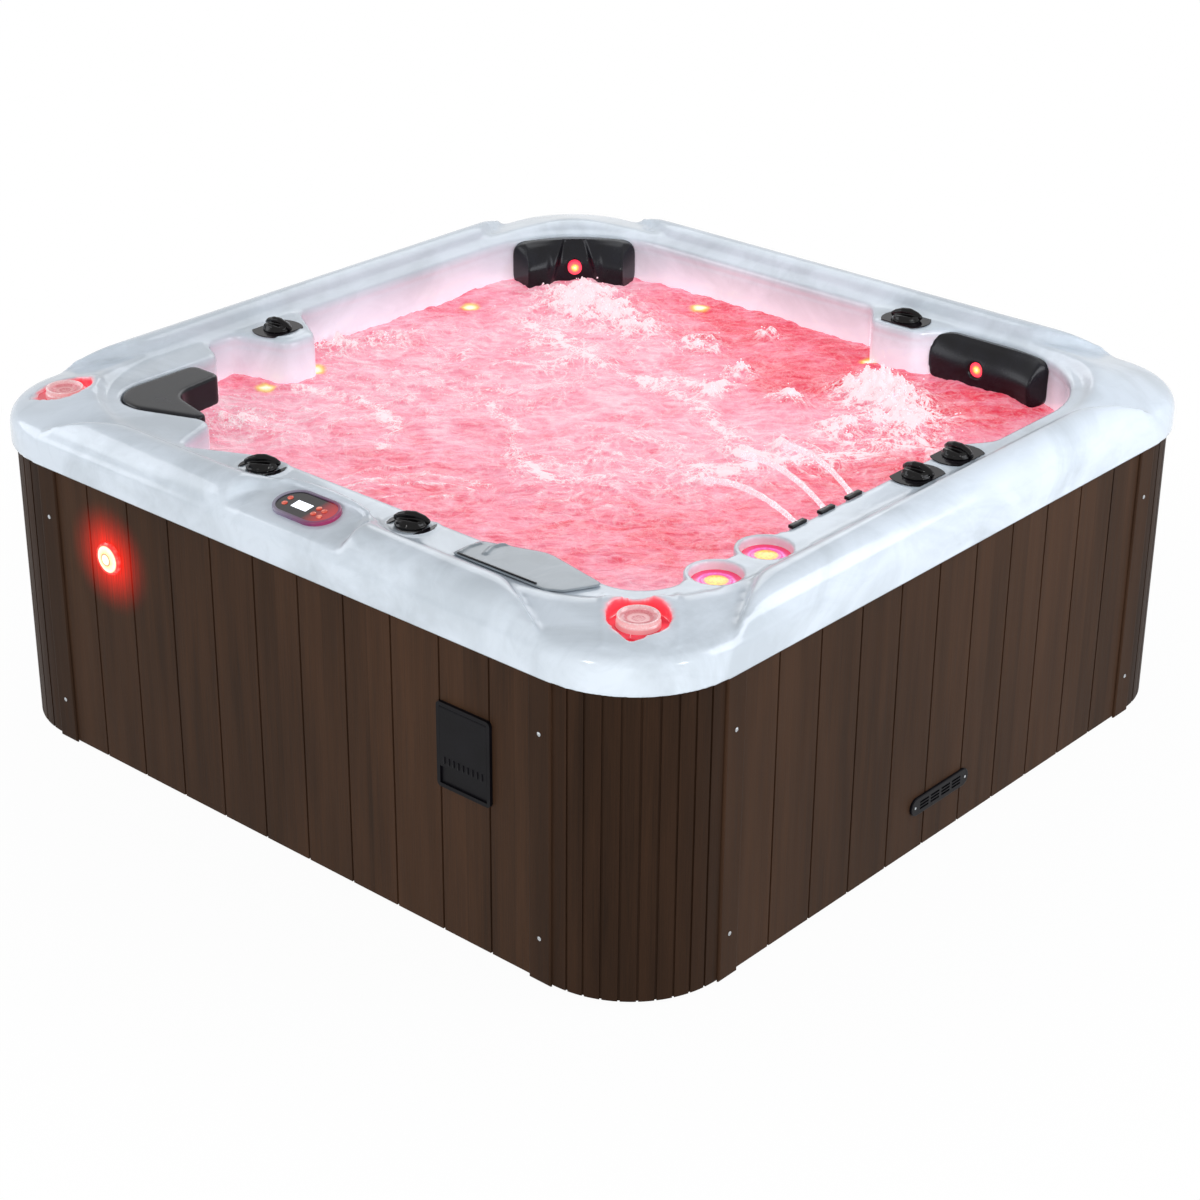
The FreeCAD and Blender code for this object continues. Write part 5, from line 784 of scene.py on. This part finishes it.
def makeFroth(waterTree):
    # beads of froth and thrown drops, thickest over the jets
    work = bmesh.new()
    weights = [reach * reach * height for x, y, reach, height in water["bursts"]]
    down = Vector((0, 0, -1))
    for index in range(water["beads"]):
        x, y, reach, height = chance.choices(water["bursts"], weights)[0]
        turn, out = chance.uniform(0, 2 * math.pi), reach * abs(chance.gauss(0, 0.75))
        above = Vector((x + out * math.cos(turn), y + out * math.sin(turn), 0.9))
        hit = waterTree.ray_cast(above, down)[0]
        if hit is None:
            continue
        size = chance.uniform(*water["beadSizes"])
        thrown = chance.random() ** 4 * height * 0.9 if index % 3 == 0 else 0.0
        place = Matrix.Translation(hit + Vector((0, 0, thrown)))
        bmesh.ops.create_icosphere(work, subdivisions=1, radius=size, matrix=place)
    finish(work, "splashDrops", frothSkin())


# Streams that fall from the ledge, and their nozzles

streams = {
    "from": [(0.824, -0.307, 0.8135), (0.824, -0.208, 0.8135), (0.822, -0.109, 0.8135)],
    "to": [(0.368, -0.067, 0.698), (0.344, 0.109, 0.698), (0.376, 0.219, 0.698)],
    "radius": 0.0058,
    "spread": 0.5,          # share by which a stream has widened where it lands
    "bulge": 0.28,
    "sway": 0.0022,
    "steps": 28,
    "sides": 12,
    "spoutOut": 0.004,
    "spoutSize": (0.013, 0.050, 0.008),
    "spoutEdge": 0.0018,
}


def tubeAlong(points, radii):
    # a round skin through the points, closed at both ends
    work = bmesh.new()
    rings = []
    last = len(points) - 1
    for index, (point, radius) in enumerate(zip(points, radii)):
        ahead = points[min(index + 1, last)] - points[max(index - 1, 0)]
        turned = ahead.to_track_quat("Z", "Y").to_matrix().to_4x4()
        ring = bmesh.ops.create_circle(work, segments=streams["sides"], radius=radius,
                                       cap_ends=index in (0, last), matrix=Matrix.Translation(point) @ turned)
        rings.append(ring["verts"])
    edgesOf = [{e for v in ring for e in v.link_edges if e.other_vert(v) in ring} for ring in rings]
    for one, two in zip(edgesOf, edgesOf[1:]):
        bmesh.ops.bridge_loops(work, edges=list(one | two))
    bmesh.ops.recalc_face_normals(work, faces=work.faces)
    return work


def makeStreams(material):
    for number, ends in enumerate(zip(streams["from"], streams["to"]), start=1):
        start, end = (Vector(place) for place in ends)
        points, radii = [], []
        for step in range(streams["steps"] + 1):
            t = step / streams["steps"]
            fall = (start.z - end.z) * t * t
            swayX, swayY = (noise.noise(Vector((t * 9, number, row))) for row in (0, 5))
            sway = Vector((swayX, swayY, 0))
            level = start.lerp(end, t)
            points.append(Vector((level.x, level.y, start.z - fall)) + sway * (streams["sway"] * t))
            bulge = 1.0 + streams["bulge"] * noise.noise(Vector((t * 16, number, 9)))
            radii.append(streams["radius"] * bulge * (1.0 + streams["spread"] * t))
        finish(tubeAlong(points, radii), "fallingStream" + str(number), material)


def makeSpouts(material):
    # one short flat nozzle for each stream, on the inner edge of the ledge
    work = bmesh.new()
    for x, y, z in streams["from"]:
        addBar(work, Matrix.Translation((x + streams["spoutOut"], y, z)), streams["spoutSize"])
    roundEdges(work, streams["spoutEdge"], 3)
    finish(work, "streamNozzles", material, sharpAngle=50)


# The vacuum-formed tub

tub = {
    "voxel": 0.0053,
    "rubs": 5,
    "rimFrom": 0.672,       # the fine rim piece starts here, under the water
    "basinTo": 0.690,
    # painted light: the water's pink glow is painted on the walls up to this height and out to these walls
    "waterGlowReach": 0.10,       # how far above the water its red light reaches
    "waterGlowTo": 0.905,         # from the middle to the walls that the water lights
    # the sheet is rubbed smooth above each of these heights, so many times
    "softRubs": [(0.725, 6), (0.795, 14), (0.817, 28)],
    # places that stay as the mould has them: round a lit recess, and round the keypad with half its sides
    "sharpReach": 0.085,
    "keypad": (0.022, -0.955),
    "keypadHalf": (0.13, 0.085),
    "lipLow": 0.7155,       # the straight lower edge of the lip
    "lipFrom": 0.985,       # from the middle to the outer face of the lip
    "lipOver": 0.700,       # nothing lower than this belongs to the lip
    "ledge": 0.812,
    # recesses lit from inside: x, y, radius, lowest, highest, strength
    "lit": [(0.872, -0.870, 0.078, 0.740, 0.838, 0.95), (-0.900, -0.868, 0.078, 0.740, 0.838, 0.95),
            (0.850, -0.603, 0.060, 0.770, 0.8115, 0.30), (0.850, -0.440, 0.060, 0.770, 0.8115, 0.30)],
    "litEdge": 0.006,
    "litBlur": 3,           # how often that light is spread over its neighbours
    # raised rolls across the near corner: height, half width, then the two ends
    "rolls": [(0.0022, 0.007, (0.749, -0.836), (0.909, -1.017)),
              (0.0022, 0.007, (0.859, -0.736), (1.014, -0.921))],
    # seats round the control knobs: x, y
    "seats": [(-0.221, -0.863), (0.234, -0.856), (-0.839, -0.254)],
    "seatRadius": 0.055,
    "seatWidth": 0.0055,
    "seatHeight": 0.0026,
    "crease": 0.7825,
    "creaseTo": 0.90,
    "creaseWidth": 0.0045,
    "creaseDepth": 0.0016,
}


def seenFromOutside(face, tree, ways):
    start = face.calc_center_median() + face.normal * 0.002
    for way in ways:
        if face.normal.dot(way) > 0.04 and tree.ray_cast(start, way)[0] is None:
            return True
    return False


def lookWays():
    ways = [Vector((0, 0, 1))]
    for rise in (50, 22, 6):
        for turn in range(0, 360, 40):
            flat, high = math.cos(math.radians(rise)), math.sin(math.radians(rise))
            angle = math.radians(turn + rise)
            ways.append(Vector((math.cos(angle) * flat, math.sin(angle) * flat, high)))
    return ways


# painted light: the red of each recess lamp, painted as colour and glow on the acrylic walls round it
def litShare(spot):
    best = 0.0
    for x, y, radius, low, high, strength in tub["lit"]:
        if low < spot.z < high:
            best = max(best, strength * clamp((radius - flatGap(spot, (x, y))) / tub["litEdge"]))
    return best


def softenRim(work):
    # the drawn sheet is rounder than the mould wherever nothing is set into it
    (keypadX, keypadY), (halfX, halfY) = tub["keypad"], tub["keypadHalf"]

    def free(spot):
        near = min(flatGap(spot, place) for place in tub["lit"])
        keypad = abs(spot.x - keypadX) < halfX and abs(spot.y - keypadY) < halfY
        return near > tub["sharpReach"] and not keypad

    for lowest, turns in tub["softRubs"]:
        soft = [v for v in work.verts if v.co.z > lowest and free(v.co) and not v.is_boundary]
        rubSmooth(work, soft, turns)


def modelRim(work):
    # small forms of the mould: a straight lip edge, rolls at the near corner, seats round the knobs, a crease
    moves = []
    for v in work.verts:
        x, y, z = v.co
        out = max(abs(x), abs(y))
        push = 0.0
        if z > tub["ledge"] - 0.012 and v.normal.z > 0.2:
            for height, wide, start, end in tub["rolls"]:
                push += height * hump(lineDistance(x, y, (start, end)) / wide)
            for seat in tub["seats"]:
                push += tub["seatHeight"] * hump((flatGap(v.co, seat) - tub["seatRadius"]) / tub["seatWidth"])
        if out < tub["creaseTo"] and v.normal.z < 0.5:
            push -= tub["creaseDepth"] * hump((z - tub["crease"]) / tub["creaseWidth"])
        onLip = out > tub["lipFrom"] and z > tub["lipOver"]
        low = max(0.0, tub["lipLow"] - z) if onLip else 0.0
        moves.append((v, v.normal * push + Vector((0, 0, low))))
    for v, move in moves:
        v.co += move


def lightRim(work):
    # marks for the painted light: how much pink glow from the water is painted on each spot, and how much red
    # from a lamp in its recess
    paintedWaterGlow, lit = (work.verts.layers.float.new(name) for name in ("paintedWaterGlow", "lit"))
    for v in work.verts:
        v[lit] = litShare(v.co) if v.normal.z < 0.75 or v.co.z < tub["ledge"] - 0.014 else 0.0
        inside = max(abs(v.co.x), abs(v.co.y)) < tub["waterGlowTo"] and v.normal.z < 0.6
        v[paintedWaterGlow] = clamp(1.0 - (v.co.z - water["level"]) / tub["waterGlowReach"]) if inside else 0.0
    near = [v for v in work.verts if any(flatGap(v.co, place) < 0.1 for place in tub["lit"])]
    for turn in range(tub["litBlur"]):
        mean = [sum(e.other_vert(v)[lit] for e in v.link_edges) / len(v.link_edges) for v in near]
        for v, level in zip(near, mean):
            v[lit] = 0.5 * v[lit] + 0.5 * level


def makeRim(material):
    work = evenCopy(mergedCopy("shell"), tub["voxel"], tub["rubs"])
    cutFlat(work, (0, 0, tub["rimFrom"]), (0, 0, 1), clear_inner=True)
    tree = BVHTree.FromBMesh(work)
    ways = lookWays()
    hidden = [f for f in work.faces if not seenFromOutside(f, tree, ways)]
    bmesh.ops.delete(work, geom=hidden, context="FACES")
    softenRim(work)
    modelRim(work)
    lightRim(work)
    finish(work, "tubRim", material, replaced=("shell",))
    return tree


def makeBasin(material):
    work = mergedCopy("shell")
    cutFlat(work, (0, 0, tub["basinTo"]), (0, 0, 1), clear_outer=True)
    finish(work, "tubBasin", material, replaced=("shell",), sharpAngle=40)


# Pillows

pillowForms = {
    # the middle recess is bell-shaped: its depth, and its half width at mid height and the taper upwards
    "pillow_far": {"halfHeight": 0.0675, "centre": (-0.7407, 0.7407, 0.7435), "way": (0.70711, -0.70711, 0.0),
                   "crown": 0.008, "recess": 0.016, "bell": (0.345, 0.12), "round": 0.084, "lean": 0.066},
    "pillow_head": {"halfHeight": 0.066, "centre": (0.5053, 0.8387, 0.7455), "way": (0.0, -1.0, 0.0),
                    "crown": 0.010, "round": 0.060, "lean": 0.046},
}


def swellPillow(form, a, b):
    # how far the front stands out at a spot, given as shares of the half width and the half height
    if "recess" not in form:
        return form["crown"] * (1 - min(1.0, abs(a)) ** 2.5) * (1 - min(1.0, abs(b)) ** 2)
    wide, taper = form["bell"]
    inside = clamp((wide - taper * b - abs(a)) / 0.10)
    crown = form["crown"] * max(0.0, 1 - ((abs(a) - 0.66) / 0.36) ** 2)
    return crown - form["recess"] * inside * inside * (3 - 2 * inside)


def shapePillow(work, form):
    # a crowned cushion rounded on every side, and where it has one, a bell-shaped recess in the middle
    way, centre = Vector(form["way"]), Vector(form["centre"])
    across = Vector((0, 0, 1)).cross(way)
    sides = [(v.co - centre).dot(across) for v in work.verts]
    middle, half = (min(sides) + max(sides)) / 2, (max(sides) - min(sides)) / 2
    front = max((v.co - centre).dot(way) for v in work.verts)
    power = pillow["squareness"]
    for v in work.verts:
        off = v.co - centre
        a, b = (off.dot(across) - middle) / half, off.z / form["halfHeight"]
        outline = abs(a) ** power + abs(b) ** power
        shrink = outline ** (-1 / power) if outline > 1 else 1.0
        move = across * (a * half * (shrink - 1)) + Vector((0, 0, off.z * (shrink - 1)))
        ahead = clamp(1.0 - (front - off.dot(way)) / form["round"])
        lean = ahead * max(0.0, b) ** 1.7 * form["lean"]
        facing = clamp(v.normal.dot(way) * 1.4)
        v.co += move + way * (facing * swellPillow(form, a, b) - lean)


def makePillows(material):
    for node in ("pillow_far", "pillow_head", "pillow_left"):
        work = evenCopy(mergedCopy(node), pillow["voxel"], pillow["rubs"])
        if node in pillowForms:
            shapePillow(work, pillowForms[node])
        rubSmooth(work, work.verts, pillow["lastRubs"])
        piece = finish(work, node + "_foam", material, replaced=(node,))


# Control knobs

knobs = {
    # body, centre x, centre y, turn of the wing in degrees, how much of the leaf plate is hidden
    "list": [("knob_front_left", -0.2210, -0.8631, 30, 0.74), ("knob_front_right", 0.2342, -0.8563, 19, 0.74),
             ("knob_left", -0.8390, -0.2541, 0, 0.0), ("knob_back", 0.2720, 0.8610, 12, 0.0),
             ("knob_right_near", 0.8657, 0.0725, -4, 0.0), ("knob_right_far", 0.8663, 0.2247, -12, 0.0)],
    "seat": 0.8168,
    # radius and height of the turned body, from the rim of the skirt to the top
    "profile": [(0.0350, -0.0050), (0.0362, 0.0000), (0.0356, 0.0024), (0.0332, 0.0032), (0.0330, 0.0042),
                (0.0318, 0.0075), (0.0275, 0.0108), (0.0190, 0.0130), (0.0100, 0.0138), (0.0, 0.0140)],
    # along, across, height and radius at the bends of the high blade and of the low one beside it
    "blades": [[(-0.0350, 0.0010, 0.0085, 0.0070), (-0.0255, -0.0020, 0.0145, 0.0080),
                (-0.0080, -0.0030, 0.0200, 0.0092), (0.0080, 0.0005, 0.0200, 0.0092),
                (0.0250, 0.0045, 0.0140, 0.0080), (0.0345, 0.0055, 0.0080, 0.0068)],
               [(-0.0190, -0.0195, 0.0070, 0.0070), (-0.0060, -0.0225, 0.0084, 0.0076),
                (0.0085, -0.0215, 0.0078, 0.0074), (0.0205, -0.0165, 0.0058, 0.0068)]],
    "bladeSteps": 8,
    "bladeSink": 0.001,
    "voxel": 0.0014,
    "rubs": 4,
    "leafRadius": 0.0630,
    "hiddenLeaf": 0.85,     # the share of that radius for a leaf whose middle is hidden
    "leafBand": 0.65,
    "leafThick": 0.0020,
    "leafLow": 0.8130,
}


def knobForm():
    # a turned cap with two blades for the fingers, each a row of spheres run together
    work = turnedForm(knobs["profile"], 48)
    steps = knobs["bladeSteps"]
    for blade in knobs["blades"]:
        for start, end in zip(blade, blade[1:]):
            for step in range(steps + 1):
                x, y, z, radius = (a + (b - a) * step / steps for a, b in zip(start, end))
                place = Matrix.Translation((x, y, z - knobs["bladeSink"]))
                bmesh.ops.create_icosphere(work, subdivisions=3, radius=radius, matrix=place)
    return evenCopy(work, knobs["voxel"], knobs["rubs"])


def makeLeaf(x, y, hidden):
    # a leaf-shaped plate under the knob: a disc cut straight along the ledge on both sides
    work = bmesh.new()
    radius = knobs["leafRadius"] * (knobs["hiddenLeaf"] if hidden else 1.0)
    bmesh.ops.create_circle(work, cap_ends=True, segments=96, radius=radius)
    across = Vector((1, 0, 0)) if abs(x) > abs(y) else Vector((0, 1, 0))
    along = Vector((across.y, across.x, 0))
    for side in (-1, 1):
        cutFlat(work, across * side * radius * knobs["leafBand"], across * side, clear_outer=True)
    if hidden:
        for side in (-1, 1):
            cutFlat(work, along * side * radius * hidden, along)
        middle = [f for f in work.faces if abs(f.calc_center_median().dot(along)) < radius * hidden]
        bmesh.ops.delete(work, geom=middle, context="FACES")
    raised = bmesh.ops.extrude_face_region(work, geom=work.faces[:])
    tops = [g for g in raised["geom"] if isinstance(g, bmesh.types.BMVert)]
    bmesh.ops.translate(work, verts=tops, vec=(0, 0, knobs["leafThick"]))
    bmesh.ops.recalc_face_normals(work, faces=work.faces)
    bmesh.ops.translate(work, verts=work.verts, vec=(x, y, knobs["leafLow"]))
    return work


def makeKnobs(glossy, leafMaterial):
    form = knobForm()
    for body, x, y, turn, hidden in knobs["list"]:
        work = form.copy()
        place = Matrix.Translation((x, y, knobs["seat"])) @ Matrix.Rotation(math.radians(turn), 4, "Z")
        bmesh.ops.transform(work, matrix=place, verts=work.verts)
        finish(work, body + "_moulded", glossy, body=body, replaced=(body,))
        finish(makeLeaf(x, y, hidden), body + "_leaf", leafMaterial,
               replaced=("valve_plates",), sharpAngle=40)
    form.free()


# Filter lid

lid = {
    "voxel": 0.0028,
    "rubs": 10,
    "ledge": 0.812,
    "proud": 0.45,          # how much of the solid's height over the ledge is kept
    # rolled beads on the lid: height, half width, points
    "beads": [(0.0040, 0.0055, ((0.4550, -0.8630), (0.4440, -0.8330), (0.4490, -0.8090), (0.4650, -0.7900))),
              (0.0030, 0.0055, ((0.4110, -0.8930), (0.4060, -0.8620), (0.4120, -0.8340)))],
    "slot": ((0.4110, -0.9000), (0.6280, -0.8985)),
    "slotRise": 0.0075,
    "slotSize": (0.0050, 0.0020),
    "slotEdge": 0.0008,
}


def makeLid(material, dark):
    # the acrylic of the rim in a darker copy, the darkness painted shade, low and soft-edged, with its beads,
    # and along the ridge a black bar as painted shade of the slot
    work = evenCopy(mergedCopy("filter_lid"), lid["voxel"], lid["rubs"])
    for v in work.verts:
        up = v.co.z - lid["ledge"]
        if up > 0:
            v.co.z = lid["ledge"] + up * lid["proud"]
        if v.normal.z > 0.5:
            for height, wide, points in lid["beads"]:
                v.co.z += height * hump(lineDistance(v.co.x, v.co.y, points) / wide)
    finish(work, "filterLidSkin", material, body="filter_lid", replaced=("filter_lid",))
    # painted shade: a black bar drawn where the slot along the ridge is dark with shade
    slot = bmesh.new()
    start, end = (Vector(p + (lid["ledge"] + lid["slotRise"],)) for p in lid["slot"])
    turned = (end - start).to_track_quat("X", "Z").to_matrix().to_4x4()
    addBar(slot, Matrix.Translation((start + end) / 2) @ turned, ((end - start).length,) + lid["slotSize"])
    roundEdges(slot, lid["slotEdge"], 2)
    finish(slot, "lidSlotPaintedShade", dark, body="filter_lid", sharpAngle=50)


# Speaker bowls

bowls = {
    "list": [("speaker_near", 0.872, -0.870), ("speaker_left", -0.900, -0.868)],
    # radius and height of the bowl's wall, from the middle of its floor over the rim and down outside
    "profile": [(0.0, 0.7955), (0.0100, 0.7950), (0.0140, 0.7990), (0.0180, 0.7960), (0.0260, 0.7985),
                (0.0320, 0.8060), (0.0365, 0.8150), (0.0395, 0.8215), (0.0420, 0.8228), (0.0438, 0.8205),
                (0.0425, 0.8120), (0.0380, 0.8000), (0.0300, 0.7900)],
}


def makeBowls(material):
    for node, x, y in bowls["list"]:
        work = turnedForm(bowls["profile"], 72)
        bmesh.ops.translate(work, verts=work.verts, vec=(x, y, 0))
        finish(work, node + "_bowl", material, body=node, sharpAngle=60)


# Small pieces on the cabinet

smalls = {
    "ribs": 9,
    "ribsFrom": 0.505,
    "ribsTo": 0.611,
    "ribSize": (0.0042, 0.004, 0.016),
    "ribPlace": (-1.0440, 0.429),
    "ribEdge": 0.0012,
    "ventScrews": [(1.0425, -0.112, 0.120), (1.0425, 0.080, 0.120)],
    "screwRadius": 0.0032,
    "screwFlat": 0.35,      # the share of its radius by which a screw head stands out
}


def makeRibs(material):
    # the finger grip on the breaker cover
    work = bmesh.new()
    for index in range(smalls["ribs"]):
        share = index / (smalls["ribs"] - 1)
        x = smalls["ribsFrom"] + (smalls["ribsTo"] - smalls["ribsFrom"]) * share
        addBar(work, Matrix.Translation((x,) + smalls["ribPlace"]), smalls["ribSize"])
    roundEdges(work, smalls["ribEdge"], 2)
    finish(work, "breakerGrip", material, body="breaker_cover", sharpAngle=50)


def makeVentScrews(material):
    work = bmesh.new()
    for spot in smalls["ventScrews"]:
        place = Matrix.Translation(spot) @ Matrix.Diagonal((smalls["screwFlat"], 1.0, 1.0, 1.0))
        bmesh.ops.create_uvsphere(work, u_segments=20, v_segments=10, radius=smalls["screwRadius"],
                                  matrix=place)
    finish(work, "ventScrews", material)


# Materials for the nodes that stay

# colour, its darker clouds, roughness, mm across the grain, metres of height in it, shine
plastics = {
    "glossyBlackAbs": ("#0c090a", "#070506", 0.08, 6, 0.00003, 0.22),
    "satinBlackAbs": ("#0f0e12", "#0a090c", 0.36, 2.5, 0.00025, 0.10),
    "glossyBlackLeaf": ("#171117", "#0e0a0f", 0.12, 4, 0.00004, 0.18),
    "whitePvc": ("#e9ebe8", "#dcdedb", 0.3, 5, 0.0001, 0.5),
    "clearAcrylicStrip": ("#aab4bd", "#8f9aa4", 0.12, 5, 0.00005, 0.5),
    "greyAbs": ("#6e7377", "#5f6468", 0.4, 3, 0.0002, 0.3),
}

# centres, reach of the rings, strength, mm across a prism, then the rings as shares of the reach and colours
lenses = {
    # the speaker bowls: the darker rings inside are painted shade and the near-white ring at the rim a
    # painted highlight, over the glow of their lamp
    "pinkLitBowl": ([(x, y, 0) for node, x, y in bowls["list"]], 0.045, 0.42, 4,
                    [(0.0, "#e88a8a"), (0.26, "#cf4858"), (0.36, "#f0a2a2"), (0.62, "#dd6e7a"),
                     (0.82, "#f7b9bc"), (0.93, "#ffeeee"), (1.0, "#f2a6aa")]),
    "facetedLens": ([(0.850, -0.603, 0), (0.850, -0.440, 0)], 0.056, 0.85, 6,
                    [(0.0, "#fff07a"), (0.40, "#ffc83c"), (0.48, "#ee4fa8"), (0.66, "#f07ad0"),
                     (0.74, "#e03a78"), (1.0, "#d8304a")]),
    "lampLens": ([(-0.560, -1.0455, 0.545)], 0.033, 1.25, 9,
                 [(0.0, "#ffffff"), (0.34, "#fffbd6"), (0.44, "#f0482a"), (0.52, "#fff09a"),
                  (0.88, "#fffad2"), (1.0, "#ff7048")]),
    "pillowLens": ([pillowForms[node]["centre"] for node in ("pillow_far", "pillow_head")], 0.019, 1.3, 5,
                   [(0.0, "#fffbe0"), (0.22, "#ffe680"), (0.45, "#ffb24a"), (0.62, "#ff5a5a"),
                    (1.0, "#ff3450")]),
}

# lit plastic of the keypad: its two ends, strength, then the colours along it
keypadLight = {
    # the clear bezel: its pale lavender left end is a painted highlight
    "litBezelClear": (-0.064, 0.108, 0.08, [(0.0, "#8e8b9c"), (0.5, "#6f5874"), (0.8, "#7c3560"),
                                            (1.0, "#9c2c5c")]),
    "litKeypadFace": (-0.057, 0.101, 0.30, [(0.0, "#120f11"), (0.62, "#160f11"), (0.74, "#8e1620"),
                                            (1.0, "#d0242e")]),
}


def lens(name, **settings):
    return ringLight(name, *lenses[name], **settings)


def dressNodes():
    side = woodPlastic("brushedBoardsSide", 1, boards["board"])
    edge = woodPlastic("brushedTrim", 0, boards["strip"], paintedShade=boards["trimPaintedShade"])
    steel = brushedSteel("brushedStainless", "#d5d8da", "#8f9499", 0.2)
    plastic = {name: mouldedPlastic(name, *values) for name, values in plastics.items()}
    satin, grey, pipe = (plastic[name] for name in ("satinBlackAbs", "greyAbs", "whitePvc"))
    finishes = {
        "acrylic": marbledAcrylic("marbledAcrylic", acrylic["pale"], acrylic["grey"]),
        # painted shade: the lid's acrylic drawn darker than the rim's
        "lid": marbledAcrylic("marbledLidPaintedShade", acrylic["lidShadedPale"], acrylic["lidShadedGrey"]),
        "boards": woodPlastic("brushedBoardsFront", 0, boards["board"], lit=True),
        "tambour": woodPlastic("brushedSlats", 0, boards["slat"], paintedShade=boards["slatPaintedShade"]),
        "trim": edge, "timber": edge,
        "knob": plastic["glossyBlackAbs"], "valve_plate": plastic["glossyBlackLeaf"],
        "pan": satin, "black_plastic": satin, "smoked": satin,
        "foam_block": grey, "module": grey, "pump": grey, "grey_plastic": grey,
        "white_pipe": pipe, "white_plastic": pipe, "filter_cloth": pipe,
        "clear_plastic": plastic["clearAcrylicStrip"],
        "screws": steel, "jet_steel": steel, "heater_steel": steel,
        "keypad_body": alongLight("litBezelClear", *keypadLight["litBezelClear"]),
        "keypad_face": alongLight("litKeypadFace", *keypadLight["litKeypadFace"]),
        "screen": litPlastic("litDisplay", "#ffffff", "#eef2ff", 1.1, 2),
        "button": litPlastic("litButton", "#f09078", "#c84a38", 0.35, 9),
        "speaker_housing": litPlastic("redLitAbs", "#f0485a", "#c52b3e", 0.45, 40),
        "bezel": litPlastic("lampBezel", "#ff5148", "#f02a26", 0.8, 12),
        "speaker": lens("pinkLitBowl", facets=0.5),
        "cup_lens": lens("facetedLens"),
        "red_lens": lens("lampLens", facets=0.16, flat=False),
        "lit_lens": lens("pillowLens", flat=False),
        "pillow": skinnedFoam(),
    }
    for name, piece in nodes.items():
        for index, old in enumerate(piece.data.materials):
            sideBoards = name in ("panel_left", "panel_right")
            piece.data.materials[index] = side if sideBoards else finishes[old.name.split(".")[0]]
    return finishes


def buildAll():
    makeCamera()
    for name, lamp in studio["lamps"].items():
        makeLamp(name, lamp)
    makeWorld()
    makeFloor()
    print("studio ready")
    finishes = dressNodes()
    print("nodes dressed")
    rimTree = makeRim(finishes["acrylic"])
    makeBasin(finishes["acrylic"])
    makeFroth(makeWater(rimTree))
    makeStreams(fallingWater())
    makeSpouts(finishes["knob"])
    makePillows(finishes["pillow"])
    makeKnobs(finishes["knob"], finishes["valve_plate"])
    makeLid(finishes["lid"], finishes["black_plastic"])
    makeBowls(finishes["speaker"])
    makeRibs(finishes["black_plastic"])
    makeVentScrews(finishes["screws"])
    scene.view_settings.view_transform = "Standard"


buildAll()
